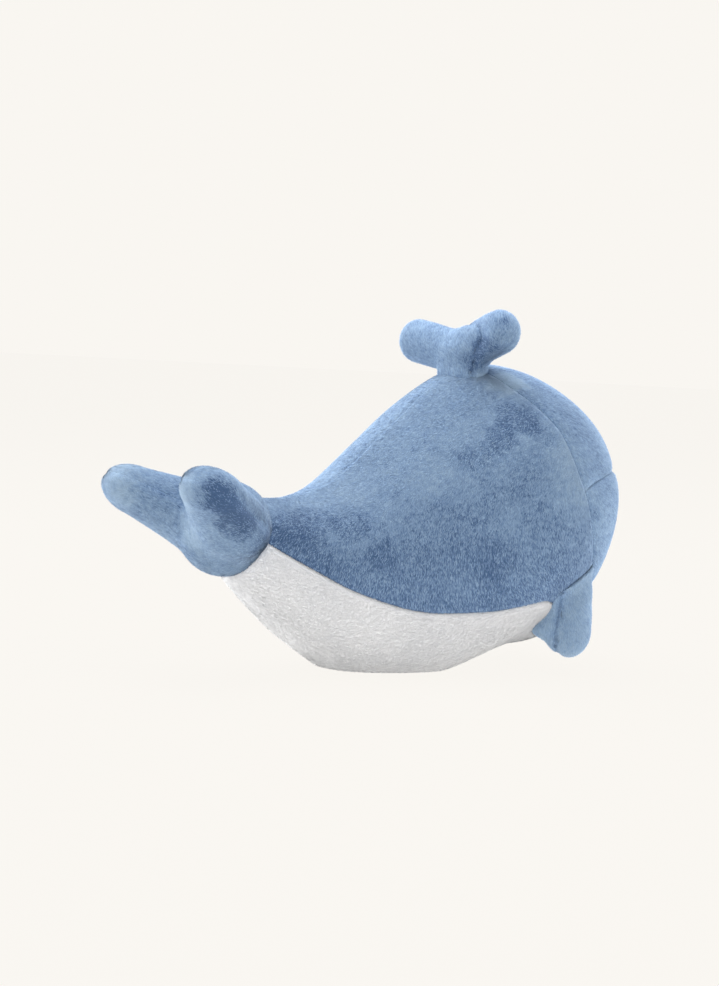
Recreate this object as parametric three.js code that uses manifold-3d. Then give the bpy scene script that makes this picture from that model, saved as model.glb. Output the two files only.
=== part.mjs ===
// A plush whale that lies on its belly: a stuffed body in sewn pile panels, two flippers, a pair of
// tail flukes and a forked spout, each a stuffed limb that bends at its root seam.
// Millimetres, +X towards the nose, +Y to the whale's left, +Z up, origin on the flat of the belly.
import * as THREE from "three";
import { mergeGeometries, mergeVertices } from "three/addons/utils/BufferGeometryUtils.js";
import Module from "manifold-3d";

const wasm = await Module();
wasm.setup();

// Driving dimensions of the body
const bodyHeight = 163.5; // belly to crown, before it settles
const bodyWidth = 153; // across the cheeks
const noseReach = 75; // widest section of the head to the nose
const tailReach = 170; // widest section of the head to the lowest stitch of the tail seam
const headPlace = 65; // widest section of the head, ahead of the resting face
const skinThickness = 2.5; // backing cloth with its pile pressed flat
const seamClearance = 0.4; // between two panels
const fillClearance = 0.3; // between a panel and the filling under it
const jointClearance = 0.9; // between a limb's root and its socket, so that both turn freely
const restCut = 0.5; // depth of the flat that is cut where it rests
const restSettle = 1; // how far the belly settles under its own weight
const settleRound = 0.5; // how softly the belly rounds into that flat

// Side view of the body from the tail seam to the widest section of the head
const topPlaceShares = [0.9, 0.753, 0.588, 0.388, 0.188, 0];
const topHeightShares = [0.572, 0.575, 0.636, 0.798, 0.945, 1];
const bottomPlaceShares = [1, 0.882, 0.718, 0.5, 0.265, 0];
const bottomHeightShares = [0.312, 0.214, 0.092, -0.014, -0.012, 0.076];
const halfWidthShares = [0.314, 0.425, 0.56, 0.686, 0.856, 1];
const waistShare = 0.54; // height of the widest point in each section
const ridgePower = 0.5; // how far the back rises to a ridge at its seam
const flatPower = 0.3; // how far the belly flattens
const aheadShare = 0.45; // where the spline takes its direction into the head's rounding

// Seams of the body, as shares of its length and turns round it
const bellySeamTurn = THREE.MathUtils.degToRad(96);
const bellySeamDrop = THREE.MathUtils.degToRad(32);
const gussetSeamShares = [0.93, 0.06, 0.49]; // at the crown, its rise and its sweep down the cheek
const chinShare = 0.07; // how far the chin seam bows towards the nose
const archShare = 0.08; // how far the seam over the face bows up
const archPower = 8;

// Steps of the body's mesh
const lengthSteps = 11;
const gussetSteps = 5;
const cheekSteps = 3;
const crossSteps = 6;
const sideSteps = gussetSteps + cheekSteps;
const apexShare = 0.3; // how much of the gusset's first step the spout's root covers

// Eyes: a domed button, its shank through the panel and the washer that locks it
const eyeRadius = 5.5;
const eyeHeight = 3.6;
const eyeTurnShare = 0.27;
const eyeDropShare = 0.08;
const eyeSeat = 0.5; // between the button and the pile it presses on
const shankRadius = 1.6;
const shankLength = 8;
const washerRadius = 6;
const washerThickness = 1.6;
const washerSeat = 0.6; // behind the panel, which curves away from it
const washerClearance = 0.15; // round the shank

// Bag of pellets that keeps the whale on its belly
const beanLength = 102;
const beanWidth = 84;
const beanHeight = 78;
const beanPlace = -36;
const beanRise = 44; // its middle over the floor

// What is left of the body's end round the root of the flukes
const seamLand = 1.4;

// Flukes: the root ball's centre behind the tail seam, and two lobes
const flukeJointPlace = 11;
const flukeRise = THREE.MathUtils.degToRad(7.7); // lobes above the line of the tail
const flukeLobe = {
  rootRadius: 21.8,
  rootThickness: 37,
  tipRadius: 19.6,
  tipThickness: 25,
  rootPlace: 12,
  rootSpread: 20.5,
  tipPlace: 34,
  tipSpread: 37.5,
};

// Spout: a roll along its root, a stem and two lobes
const spoutPlaceShare = 0.9; // where it stands on the back seam
const spoutSink = 2.5; // centre of the roll under the crown
const spoutRollRadius = 12.5;
const spoutRollWidth = 37;
const spoutLean = THREE.MathUtils.degToRad(5); // to the left
const spoutStem = { width: 32, thickness: 21 };
const spoutLobe = {
  rootRadius: 13.4,
  rootThickness: 23,
  tipRadius: 13.2,
  tipThickness: 22,
  rootPlace: 12.7,
  rootSpread: 3,
  tipPlace: 21,
  tipSpread: 33,
};

// Flippers: a root ball and the lobe that hangs from it
const flipperPlaceShare = 1.145; // its root ball's place along the body
const flipperPlaceTurn = THREE.MathUtils.degToRad(124); // and round it
const flipperSink = 4; // centre of the root ball under the pile
const flipperBallRadius = 17.6; // just over the lobe's own round root
const flipperLength = 28;
const flipperLobe = { rootRadius: 17, rootThickness: 30, tipRadius: 15.8, tipThickness: 27 };
const flipperPitch = THREE.MathUtils.degToRad(13.5); // forward of straight down
const flipperTuck = THREE.MathUtils.degToRad(15); // in under the belly
const flipperTwist = THREE.MathUtils.degToRad(18); // its rear edge turned outwards
const flipperClearance = 0.6; // between the hanging lobe and the belly beside it

// Steps of the limbs' and trims' meshes
const ballSteps = 12; // round its hinge
const ballRings = 6;
const lobeSteps = 8;
const lobeRings = 2;
const beanSteps = 10;
const trimSteps = 12;
const mergeDistance = 1e-3;

const pile = { roughness: 0.95, metalness: 0 };
const finishes = {
  bluePile: new THREE.MeshStandardMaterial({ color: 0x5f86b0, ...pile }),
  whitePile: new THREE.MeshStandardMaterial({ color: 0xd6d7da, ...pile }),
  filling: new THREE.MeshStandardMaterial({ color: 0xf2f0ea, ...pile }),
  pelletCloth: new THREE.MeshStandardMaterial({ color: 0xdcd6c8, ...pile }),
  eyeBlack: new THREE.MeshStandardMaterial({ color: 0x0b0b0d, roughness: 0.12, metalness: 0 }),
  washerWhite: new THREE.MeshStandardMaterial({ color: 0xe9e9e4, roughness: 0.5, metalness: 0 }),
};

const whale = new THREE.Group();

// Solids

function soloPositions(geometry) {
  const bare = geometry.index ? geometry.toNonIndexed() : geometry.clone();
  for (const name of Object.keys(bare.attributes)) {
    if (name !== "position") bare.deleteAttribute(name);
  }
  return mergeVertices(bare, mergeDistance);
}

function solid(geometry) {
  const merged = soloPositions(geometry);
  const corners = merged.index.array;
  const kept = [];
  for (let i = 0; i < corners.length; i += 3) {
    const [a, b, c] = [corners[i], corners[i + 1], corners[i + 2]];
    if (a !== b && b !== c && c !== a) kept.push(a, b, c);
  }
  return new wasm.Manifold(
    new wasm.Mesh({
      numProp: 3,
      vertProperties: merged.attributes.position.array,
      triVerts: new Uint32Array(kept),
    }),
  );
}

function geometryOf(shape) {
  const mesh = shape.getMesh();
  const points = new Float32Array(mesh.numVert * 3);
  for (let i = 0; i < mesh.numVert; i++) {
    points.set(mesh.vertProperties.subarray(i * mesh.numProp, i * mesh.numProp + 3), i * 3);
  }
  return new THREE.BufferGeometry()
    .setAttribute("position", new THREE.BufferAttribute(points, 3))
    .setIndex(new THREE.BufferAttribute(mesh.triVerts, 1));
}

function addPiece(name, shape, finish) {
  const mesh = new THREE.Mesh(geometryOf(shape), finish);
  mesh.name = name;
  whale.add(mesh);
  return mesh;
}

// Body surface

function profile(placeShares, heightShares, places, heights) {
  return placeShares.map((share, i) => new THREE.Vector2(places * share, heights * heightShares[i]));
}

const crown = new THREE.Vector2(0, bodyHeight * topHeightShares.at(-1));
const throat = new THREE.Vector2(0, bodyHeight * bottomHeightShares.at(-1));
const nose = throat.clone().lerp(crown, waistShare);
const aheadNarrow = Math.sqrt(1 - aheadShare ** 2);

function withAhead(points, edge) {
  const ahead = nose.clone().lerp(edge, aheadNarrow);
  ahead.x += noseReach * aheadShare;
  return new THREE.SplineCurve([...points, ahead]);
}

const topCurve = withAhead(profile(topPlaceShares, topHeightShares, -tailReach, bodyHeight), crown);
const bottomCurve = withAhead(
  profile(bottomPlaceShares, bottomHeightShares, -tailReach, bodyHeight),
  throat,
);
const widthCurve = new THREE.SplineCurve(
  [...halfWidthShares, aheadNarrow].map((share, i) => new THREE.Vector2(i, (share * bodyWidth) / 2)),
);
const curveShare = (halfWidthShares.length - 1) / halfWidthShares.length;

function halfWidthAt(along) {
  const turn = Math.max(along - 1, 0) * (Math.PI / 2);
  return widthCurve.getPoint(Math.min(along, 1) * curveShare).y * Math.cos(turn);
}

// How high the body stands, with its lowest part settled just under its resting face.
function settled(height, inset) {
  const raw = height - inset - restSettle + restCut;
  return (raw + Math.hypot(raw, settleRound)) / 2 - restCut + inset;
}

// along: 0 at the tail seam, 1 at the widest section of the head, 2 at the nose.
// around: 0 at the top of the back, positive towards the left side, pi under the belly.
function bodyPoint(along, around, inset) {
  const station = Math.min(along, 1) * curveShare;
  const top = topCurve.getPoint(station);
  const bottom = bottomCurve.getPoint(station);
  const middle = bottom.clone().lerp(top, waistShare);
  const turn = Math.max(along - 1, 0) * (Math.PI / 2);
  const upright = Math.cos(around);
  const reach = (upright >= 0 ? top : bottom).clone().sub(middle);
  reach.setLength(reach.length() - inset).multiplyScalar(Math.abs(upright) * Math.cos(turn));
  const ridge = ridgePower * Math.max(1 - along, 0) * Math.max(upright, 0);
  const flat = flatPower * Math.sin((along * Math.PI) / 2) * Math.max(-upright, 0);
  const side = Math.sin(around);
  const out = Math.sign(side) * Math.abs(side) ** (1 + ridge - flat);
  const half = widthCurve.getPoint(station).y - inset;
  return new THREE.Vector3(
    headPlace + middle.x + (noseReach - inset) * Math.sin(turn) + reach.x,
    half * Math.cos(turn) * out,
    settled(middle.y + reach.y, inset),
  );
}

// A place on the head's front, as the fraction of the way from the nose up and to the left.
function frontPoint(up, left, inset) {
  return bodyPoint(2 - Math.hypot(up, left), Math.atan2(left, up), inset);
}

function bellySeam(along) {
  return bellySeamTurn + bellySeamDrop * along;
}

function gussetSeam(share) {
  const [atCrown, rise, sweep] = gussetSeamShares;
  return atCrown + rise * share + sweep * share ** 3;
}

function chinSeam(share) {
  return gussetSeam(1) + chinShare * (1 - share ** 2);
}

// Where a share of the way down the gusset and cheek seams lies on the head's front.
function seamOnFront(share) {
  const along = gussetSeam(share);
  const around = share * bellySeam(along);
  return new THREE.Vector2((2 - along) * Math.cos(around), (2 - along) * Math.sin(around));
}

const archStep = gussetSteps / sideSteps;
const archEnd = seamOnFront(archStep);

function archOnFront(share) {
  return new THREE.Vector2(
    archEnd.x + archShare * (1 - Math.abs(share) ** archPower),
    archEnd.y * share,
  );
}

function chinOnFront(share) {
  const along = chinSeam(share);
  const around = Math.PI - share * (Math.PI - bellySeam(along));
  return new THREE.Vector2((2 - along) * Math.cos(around), (2 - along) * Math.sin(around));
}

// Panels of the body: each takes its row and column, from 0 to 1, and an edge clearance in
// millimetres, and gives a point of the surface that lies inset under the pile.

function sidePanel(side) {
  return (row, column, edge, inset) => {
    const rowEdge = edge / (tailReach + noseReach);
    const share = column;
    const along = Math.min(row, 1 - rowEdge) * gussetSeam(share);
    const turnEdge = edge / halfWidthAt(along);
    const around = THREE.MathUtils.clamp(
      share * bellySeam(along),
      turnEdge,
      bellySeam(along) - turnEdge,
    );
    return bodyPoint(along, side * around, inset);
  };
}

function bellyPanel(row, column, edge, inset) {
  const rowEdge = edge / (tailReach + noseReach);
  const share = 1 - 2 * column;
  const along = Math.min(row, 1 - rowEdge) * chinSeam(share);
  const turnEdge = edge / halfWidthAt(along);
  const spread = Math.PI - bellySeam(along);
  const limit = spread - turnEdge;
  return bodyPoint(along, Math.PI - THREE.MathUtils.clamp(share * spread, -limit, limit), inset);
}

// A patch of the head's front between an upper and a lower curve and the seams at its sides.
function frontPatch(upper, lower, firstShare, lastShare) {
  const rim = (row) => seamOnFront(THREE.MathUtils.lerp(firstShare, lastShare, row));
  const centre = upper(0).clone().lerp(lower(0), 1 / 2);
  return (row, column, edge, inset) => {
    const share = 2 * column - 1;
    const place = upper(share).clone().lerp(lower(share), row);
    const straight = rim(0).lerp(rim(1), row);
    const bow = rim(row).sub(straight);
    place.x += bow.x * share ** 2;
    place.y += bow.y * share;
    const onRim = row * (1 - row) * column * (1 - column) === 0;
    const fromCentre = place.distanceTo(centre) * noseReach * (Math.PI / 2);
    if (onRim) place.lerp(centre, edge / fromCentre);
    return frontPoint(place.x, place.y, inset);
  };
}

const foreheadPatch = frontPatch(() => seamOnFront(0), archOnFront, 0, archStep);

function foreheadGusset(row, column, edge, inset) {
  return foreheadPatch(Math.max(row, apexShare / gussetSteps), column, edge, inset);
}

const facePatch = frontPatch(archOnFront, chinOnFront, archStep, 1);

// Faces of a grid of points, as loose triangles, alike on both sides of its middle column; flipped
// turns them round.
function gridFaces(pointAt, rows, columns, flipped) {
  const corners = [];
  const push = (...points) => {
    const ordered = flipped ? points.reverse() : points;
    for (const point of ordered) corners.push(point.x, point.y, point.z);
  };
  for (let i = 0; i < rows; i++) {
    for (let j = 0; j < columns; j++) {
      const [a, b, c, d] = [
        pointAt(i, j),
        pointAt(i + 1, j),
        pointAt(i + 1, j + 1),
        pointAt(i, j + 1),
      ];
      const rising = j >= columns / 2;
      push(a, b, rising ? c : d);
      push(rising ? a : b, c, d);
    }
  }
  return new THREE.BufferGeometry().setAttribute(
    "position",
    new THREE.Float32BufferAttribute(corners, 3),
  );
}

// A panel as a closed shell between the pile's face and the back of its cloth.
function panelShell(panel, rows, columns, flipped) {
  const edge = seamClearance / 2;
  const outer = (i, j) => panel(i / rows, j / columns, edge, 0);
  const inner = (i, j) => panel(i / rows, j / columns, edge, skinThickness);
  const rim = (count, at) => gridFaces((i, j) => (j ? inner : outer)(...at(i)), count, 1, flipped);
  return solid(
    mergeGeometries([
      gridFaces(outer, rows, columns, flipped),
      gridFaces(inner, rows, columns, !flipped),
      rim(rows, (i) => [rows - i, 0]),
      rim(columns, (j) => [0, j]),
      rim(rows, (i) => [i, columns]),
      rim(columns, (j) => [rows, columns - j]),
    ]),
  );
}

// The body under its panels, closed at the tail seam.
function bodyCore(inset) {
  const face = (panel, rows, columns, flipped) =>
    gridFaces((i, j) => panel(i / rows, j / columns, 0, inset), rows, columns, flipped);
  const tailRing = [];
  for (let j = 0; j <= sideSteps; j++) tailRing.push(sidePanel(1)(0, j / sideSteps, 0, inset));
  for (let j = 1; j <= crossSteps; j++) tailRing.push(bellyPanel(0, j / crossSteps, 0, inset));
  for (let j = sideSteps - 1; j >= 0; j--) {
    tailRing.push(sidePanel(-1)(0, j / sideSteps, 0, inset));
  }
  const tailCentre = tailRing
    .reduce((sum, point) => sum.add(point), new THREE.Vector3())
    .divideScalar(tailRing.length);
  const cap = gridFaces(
    (i, j) => (i ? tailCentre : tailRing[j]),
    1,
    tailRing.length - 1,
    true,
  );
  return solid(
    mergeGeometries([
      face(sidePanel(1), lengthSteps, sideSteps, false),
      face(sidePanel(-1), lengthSteps, sideSteps, true),
      face(bellyPanel, lengthSteps, crossSteps, false),
      face(foreheadPatch, gussetSteps, crossSteps, false),
      face(facePatch, cheekSteps, crossSteps, false),
      cap,
    ]),
  );
}

// Limbs

// Turns a shape made along +Y, flat across Z, to its direction and its thickness, at a place.
function laid(geometry, place, along, thick) {
  const side = new THREE.Vector3().crossVectors(along, thick);
  return geometry.applyMatrix4(new THREE.Matrix4().makeBasis(side, along, thick).setPosition(place));
}

// A ball with its poles on its hinge, so that it turns in its socket.
function ball(place, radius, hinge, front) {
  const round = new THREE.SphereGeometry(radius, ballSteps, ballRings);
  return solid(laid(round, place, hinge, front));
}

// A stuffed lobe: a flattened ball at its root and one at its tip, with straight sides between.
function lobe(size, root, tip, thick, inset) {
  const length = root.distanceTo(tip);
  const [rootRadius, tipRadius] = [size.rootRadius - inset, size.tipRadius - inset];
  const tangent = Math.acos((rootRadius - tipRadius) / length);
  const outline = [];
  for (let i = 0; i <= lobeRings; i++) {
    const turn = Math.PI - (Math.PI - tangent) * (i / lobeRings);
    outline.push(new THREE.Vector2(rootRadius * Math.sin(turn), rootRadius * Math.cos(turn)));
  }
  for (let i = 0; i <= lobeRings; i++) {
    const turn = tangent * (1 - i / lobeRings);
    outline.push(new THREE.Vector2(tipRadius * Math.sin(turn), length + tipRadius * Math.cos(turn)));
  }
  const shape = new THREE.LatheGeometry(outline, lobeSteps);
  const flatAtRoot = (size.rootThickness / 2 - inset) / rootRadius;
  const flatAtTip = (size.tipThickness / 2 - inset) / tipRadius;
  const points = shape.attributes.position;
  for (let i = 0; i < points.count; i++) {
    const share = THREE.MathUtils.clamp(points.getY(i) / length, 0, 1);
    points.setZ(i, points.getZ(i) * THREE.MathUtils.lerp(flatAtRoot, flatAtTip, share));
  }
  const along = tip.clone().sub(root).normalize();
  const square = thick.clone().projectOnPlane(along).normalize();
  return solid(laid(shape, root, along, square));
}

function joined(shapes) {
  return shapes.reduce((whole, shape) => whole.add(shape));
}

// What lies on the side of a plane that it faces, from a gap beyond it.
function beyond(shape, facing, place, gap) {
  return shape.trimByPlane(facing.toArray(), facing.dot(place) + gap);
}

// The two pile panels round a limb, sewn along its middle plane.
function limbPanels(shapeAt, facing, place) {
  const skin = shapeAt(0).subtract(shapeAt(skinThickness));
  const behind = facing.clone().negate();
  return [facing, behind].map((side) => beyond(skin, side, place, seamClearance / 2));
}

function limbFill(shapeAt) {
  return shapeAt(skinThickness + fillClearance);
}

const origin = new THREE.Vector3();
const up = new THREE.Vector3(0, 0, 1);
const left = new THREE.Vector3(0, 1, 0);
const right = left.clone().negate();

// Tail seam and flukes
const tailTop = bodyPoint(0, 0, 0);
const tailBottom = bodyPoint(0, Math.PI, 0);
const tailMiddle = tailTop.clone().lerp(tailBottom, 1 / 2);
const tailSlope = tailTop.clone().sub(tailBottom);
const tailLine = new THREE.Vector3().crossVectors(tailSlope, left).normalize();
const flukeJoint = tailMiddle.clone().addScaledVector(tailLine, flukeJointPlace);
const flukeNeck = Math.min(tailSlope.length() / 2, halfWidthAt(0)) - seamLand;
const flukeRadius = Math.hypot(flukeNeck, flukeJointPlace);
const flukeLine = tailLine.clone().applyAxisAngle(left, flukeRise);
const flukeUp = new THREE.Vector3().crossVectors(left, flukeLine);

function twoLobes(size, joint, along, across, thick, inset) {
  const at = (place, spread) =>
    joint.clone().addScaledVector(along, place).addScaledVector(across, spread);
  return [-1, 1].map((side) =>
    lobe(
      size,
      at(size.rootPlace, side * size.rootSpread),
      at(size.tipPlace, side * size.tipSpread),
      thick,
      inset,
    ),
  );
}

function flukeBall(inset) {
  return ball(flukeJoint, flukeRadius - inset, left, flukeUp);
}

function flukesAt(inset) {
  return joined([
    flukeBall(inset),
    ...twoLobes(flukeLobe, flukeJoint, flukeLine, left, flukeUp, inset),
  ]);
}

// Spout
const spoutUp = new THREE.Vector3(0, Math.sin(spoutLean), Math.cos(spoutLean));
const spoutAcross = new THREE.Vector3(0, Math.cos(spoutLean), -Math.sin(spoutLean));
const spoutFront = new THREE.Vector3().crossVectors(spoutAcross, spoutUp);
const spoutJoint = bodyPoint(spoutPlaceShare, 0, 0).addScaledVector(spoutUp, -spoutSink);

function spoutRoll(inset) {
  const radius = spoutRollRadius - inset;
  const straight = spoutRollWidth - 2 * spoutRollRadius;
  const roll = new THREE.CapsuleGeometry(radius, straight, lobeRings, ballSteps);
  return solid(laid(roll, spoutJoint, spoutAcross, spoutFront));
}

function spoutStemAt(inset) {
  const height = spoutLobe.rootPlace;
  const stem = new THREE.CylinderGeometry(1, 1, height, lobeSteps);
  stem.scale(spoutStem.width / 2 - inset, 1, spoutStem.thickness / 2 - inset);
  const middle = spoutJoint.clone().addScaledVector(spoutUp, height / 2);
  return solid(laid(stem, middle, spoutUp, spoutFront));
}

function spoutAt(inset) {
  return joined([
    spoutRoll(inset),
    spoutStemAt(inset),
    ...twoLobes(spoutLobe, spoutJoint, spoutUp, spoutAcross, spoutFront, inset),
  ]);
}

// Right flipper
const flipperJoint = bodyPoint(flipperPlaceShare, -flipperPlaceTurn, flipperSink);
const flipperLine = new THREE.Vector3(
  Math.sin(flipperPitch) * Math.cos(flipperTuck),
  Math.sin(flipperTuck),
  -Math.cos(flipperPitch) * Math.cos(flipperTuck),
);
const flipperOut = right
  .clone()
  .applyAxisAngle(up, flipperTwist)
  .projectOnPlane(flipperLine)
  .normalize();

const flipperHinge = new THREE.Vector3().crossVectors(flipperLine, flipperOut);

function flipperBall(inset) {
  return ball(flipperJoint, flipperBallRadius - inset, flipperHinge, flipperOut);
}

function flipperAt(inset) {
  const tip = flipperJoint.clone().addScaledVector(flipperLine, flipperLength);
  const hanging = lobe(flipperLobe, flipperJoint, tip, flipperOut, inset);
  const beside = bodyCore(-flipperClearance - inset);
  return flipperBall(inset).add(hanging.subtract(beside));
}

const flipperSocket = flipperBall(-jointClearance);
const sockets = joined([
  flukeBall(-jointClearance),
  spoutRoll(-jointClearance),
  flipperSocket,
  flipperSocket.mirror(left.toArray()),
]);

// Eyes, made along +Y with the back of the button at the origin
function lathed(outline) {
  const points = outline.map(([across, along]) => new THREE.Vector2(across, along));
  return new THREE.LatheGeometry(points, trimSteps);
}

const eyeButton = [
  [0, -shankLength],
  [shankRadius, -shankLength],
  [shankRadius, 0],
  [eyeRadius, 0],
];
const domeSteps = 4;
for (let i = 1; i <= domeSteps; i++) {
  const turn = (Math.PI / 2) * (i / domeSteps);
  eyeButton.push([eyeRadius * Math.cos(turn), eyeHeight * Math.sin(turn)]);
}

const washerTop = -eyeSeat - skinThickness - washerSeat;
const washerOutline = [
  [shankRadius + washerClearance, washerTop - washerThickness],
  [washerRadius, washerTop - washerThickness],
  [washerRadius, washerTop],
  [shankRadius + washerClearance, washerTop],
  [shankRadius + washerClearance, washerTop - washerThickness],
];
const eyeRoom = [
  [0, -shankLength - fillClearance],
  [shankRadius + fillClearance, -shankLength - fillClearance],
  [shankRadius + fillClearance, washerTop - washerThickness - fillClearance],
  [washerRadius + fillClearance, washerTop - washerThickness - fillClearance],
  [washerRadius + fillClearance, -eyeSeat - skinThickness],
  [shankRadius + fillClearance, -eyeSeat - skinThickness],
  [shankRadius + fillClearance, 0],
  [0, 0],
];

// Seats a trim, made along +Y, on the pile at an eye's place.
function onFace(geometry, side) {
  const spot = (rise, turn) => frontPoint(rise, turn, 0);
  const step = archShare / 2;
  const turn = side * eyeTurnShare;
  const place = spot(-eyeDropShare, turn);
  const upward = spot(step - eyeDropShare, turn).sub(spot(-step - eyeDropShare, turn));
  const across = spot(-eyeDropShare, turn + step).sub(spot(-eyeDropShare, turn - step));
  const out = across.cross(upward).normalize();
  const square = up.clone().projectOnPlane(out).normalize();
  return solid(laid(geometry, place.addScaledVector(out, eyeSeat), out, square));
}

const eyeRooms = joined([-1, 1].map((side) => onFace(lathed(eyeRoom), side)));

// Bag of pellets
function beanShape(margin) {
  const round = new THREE.SphereGeometry(1, beanSteps, beanSteps / 2);
  round.scale(beanLength / 2 + margin, beanWidth / 2 + margin, beanHeight / 2 + margin);
  return solid(round.translate(beanPlace, 0, beanRise));
}

// Pieces

const coreInset = skinThickness + fillClearance;
const core = bodyCore(coreInset);

addPiece(
  "body_fill",
  core.subtract(sockets).subtract(eyeRooms).subtract(beanShape(fillClearance)),
  finishes.filling,
);
addPiece("bean_bag", core.intersect(beanShape(0)), finishes.pelletCloth);

const bodyPanels = {
  side_panel_right: [panelShell(sidePanel(-1), lengthSteps, sideSteps, true), finishes.bluePile],
  side_panel_left: [panelShell(sidePanel(1), lengthSteps, sideSteps, false), finishes.bluePile],
  forehead_gusset: [
    panelShell(foreheadGusset, gussetSteps, crossSteps, false),
    finishes.bluePile,
  ],
  face_panel: [
    panelShell(facePatch, cheekSteps, crossSteps, false).subtract(eyeRooms),
    finishes.bluePile,
  ],
  belly_panel: [
    beyond(panelShell(bellyPanel, lengthSteps, crossSteps, false), up, origin, 0),
    finishes.whitePile,
  ],
};
for (const [name, [panel, finish]] of Object.entries(bodyPanels)) {
  addPiece(name, panel.subtract(sockets), finish);
}

for (const [name, side] of [["right", -1], ["left", 1]]) {
  addPiece(`eye_${name}`, onFace(lathed(eyeButton), side), finishes.eyeBlack);
  addPiece(`eye_washer_${name}`, onFace(lathed(washerOutline), side), finishes.washerWhite);
}

function addPair(stem, shapes, names, finish) {
  shapes.forEach((shape, i) => addPiece(`${stem}_${names[i]}`, shape, finish));
}

function halves(shape, place) {
  return [right, left].map((side) => beyond(shape, side, place, fillClearance / 2));
}

addPair("fluke_fill", halves(limbFill(flukesAt), flukeJoint), ["right", "left"], finishes.filling);
addPair(
  "fluke",
  limbPanels(flukesAt, flukeUp, flukeJoint),
  ["top_panel", "bottom_panel"],
  finishes.bluePile,
);
addPair("spout_fill", halves(limbFill(spoutAt), spoutJoint), ["right", "left"], finishes.filling);
addPair(
  "spout",
  limbPanels(spoutAt, spoutFront, spoutJoint),
  ["front_panel", "back_panel"],
  finishes.bluePile,
);

const flipperPieces = [
  ["fill", limbFill(flipperAt), finishes.filling],
  ...limbPanels(flipperAt, flipperOut, flipperJoint).map((shape, i) => [
    ["outer_panel", "inner_panel"][i],
    shape,
    finishes.bluePile,
  ]),
];
for (const [name, shape, finish] of flipperPieces) {
  addPiece(`flipper_right_${name}`, shape, finish);
  addPiece(`flipper_left_${name}`, shape, finish).scale.y = -1;
}

export default whale;
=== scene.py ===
# A plush whale on its belly: pile panels sewn over a stuffed body, with flukes, a spout and flippers.
import math

import bmesh
import bpy
import numpy as np
from mathutils import Matrix, Vector
from mathutils.bvhtree import BVHTree


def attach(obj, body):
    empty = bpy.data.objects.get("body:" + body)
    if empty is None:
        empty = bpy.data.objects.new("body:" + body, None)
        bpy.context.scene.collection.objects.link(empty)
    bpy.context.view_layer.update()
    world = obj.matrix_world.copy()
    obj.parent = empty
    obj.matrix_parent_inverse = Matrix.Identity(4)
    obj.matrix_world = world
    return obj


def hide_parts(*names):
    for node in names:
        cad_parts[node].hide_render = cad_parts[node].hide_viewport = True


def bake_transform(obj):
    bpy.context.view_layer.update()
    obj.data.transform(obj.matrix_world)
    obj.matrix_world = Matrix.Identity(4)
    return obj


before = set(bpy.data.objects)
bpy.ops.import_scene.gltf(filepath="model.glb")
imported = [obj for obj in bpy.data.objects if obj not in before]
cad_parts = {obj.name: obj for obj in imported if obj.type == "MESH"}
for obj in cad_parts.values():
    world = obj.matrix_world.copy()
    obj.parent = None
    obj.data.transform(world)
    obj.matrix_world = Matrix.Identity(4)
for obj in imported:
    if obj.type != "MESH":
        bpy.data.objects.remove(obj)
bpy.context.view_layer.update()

scene = bpy.context.scene
upward = np.array([0.0, 0.0, 1.0])
toLeft = np.array([0.0, 1.0, 0.0])


# Small helpers

def unit(arrows):
    return arrows / np.maximum(np.linalg.norm(arrows, axis=-1, keepdims=True), 1e-12)


def square(vector, axis):
    return unit(vector - axis * (vector @ axis))


def turned(vector, axis, degrees):
    return np.array(Matrix.Rotation(math.radians(degrees), 3, Vector(axis)) @ Vector(vector))


waveCount = 9
waveSpread = (0.7, 1.3)


def waves(points, size, seed):
    # soft lumps between about -1 and 1, each about this size
    chance = np.random.default_rng(seed)
    total = np.zeros(points.shape[:-1])
    for _ in range(waveCount):
        way = unit(chance.normal(size=3)) * math.pi / size * chance.uniform(*waveSpread)
        total += np.sin(points @ way + chance.uniform(0, 2 * math.pi))
    return total / math.sqrt(waveCount)


def addObject(name, data):
    obj = bpy.data.objects.new(name, data)
    scene.collection.objects.link(obj)
    return obj


def builtFrom(mesh):
    built = bmesh.new()
    built.from_mesh(mesh)
    return built


def meshFrom(built, mesh):
    # puts what was built into a mesh, or into a new one of this name
    mesh = bpy.data.meshes.new(mesh) if isinstance(mesh, str) else mesh
    built.to_mesh(mesh)
    built.free()
    return mesh


def vectorsIn(data, key):
    flat = np.empty(len(data) * 3, np.float32)
    data.foreach_get(key, flat)
    return flat.reshape(-1, 3).astype(float)


def coordinates(mesh):
    return vectorsIn(mesh.vertices, "co")


def normals(mesh):
    return vectorsIn(mesh.vertex_normals, "vector")


def setCoordinates(mesh, points):
    mesh.vertices.foreach_set("co", np.asarray(points, np.float32).ravel())
    mesh.update()


def setAttribute(mesh, name, values):
    values = np.asarray(values, np.float32)
    kind, key = ("FLOAT_VECTOR", "vector") if values.ndim == 2 else ("FLOAT", "value")
    attribute = mesh.attributes.new(name, kind, "POINT")
    attribute.data.foreach_set(key, values.ravel())


def applied(obj):
    # the object's modifiers baked into a plain mesh
    depsgraph = bpy.context.evaluated_depsgraph_get()
    mesh = bpy.data.meshes.new_from_object(obj.evaluated_get(depsgraph))
    obj.modifiers.clear()
    old, obj.data = obj.data, mesh
    bpy.data.meshes.remove(old)
    mesh.name = obj.name
    return obj


def addRemesh(obj, voxel, smoothSteps):
    remesh = obj.modifiers.new("remesh", "REMESH")
    remesh.mode = "VOXEL"
    remesh.voxel_size = voxel
    obj.modifiers.new("smooth", "SMOOTH").iterations = smoothSteps


# Nodes

def feed(tree, made, links):
    # links or sets a node's inputs, by name or place
    for socket, source in dict(links).items():
        if isinstance(source, bpy.types.NodeSocket):
            tree.links.new(source, made.inputs[socket])
        else:
            made.inputs[socket].default_value = source


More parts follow.
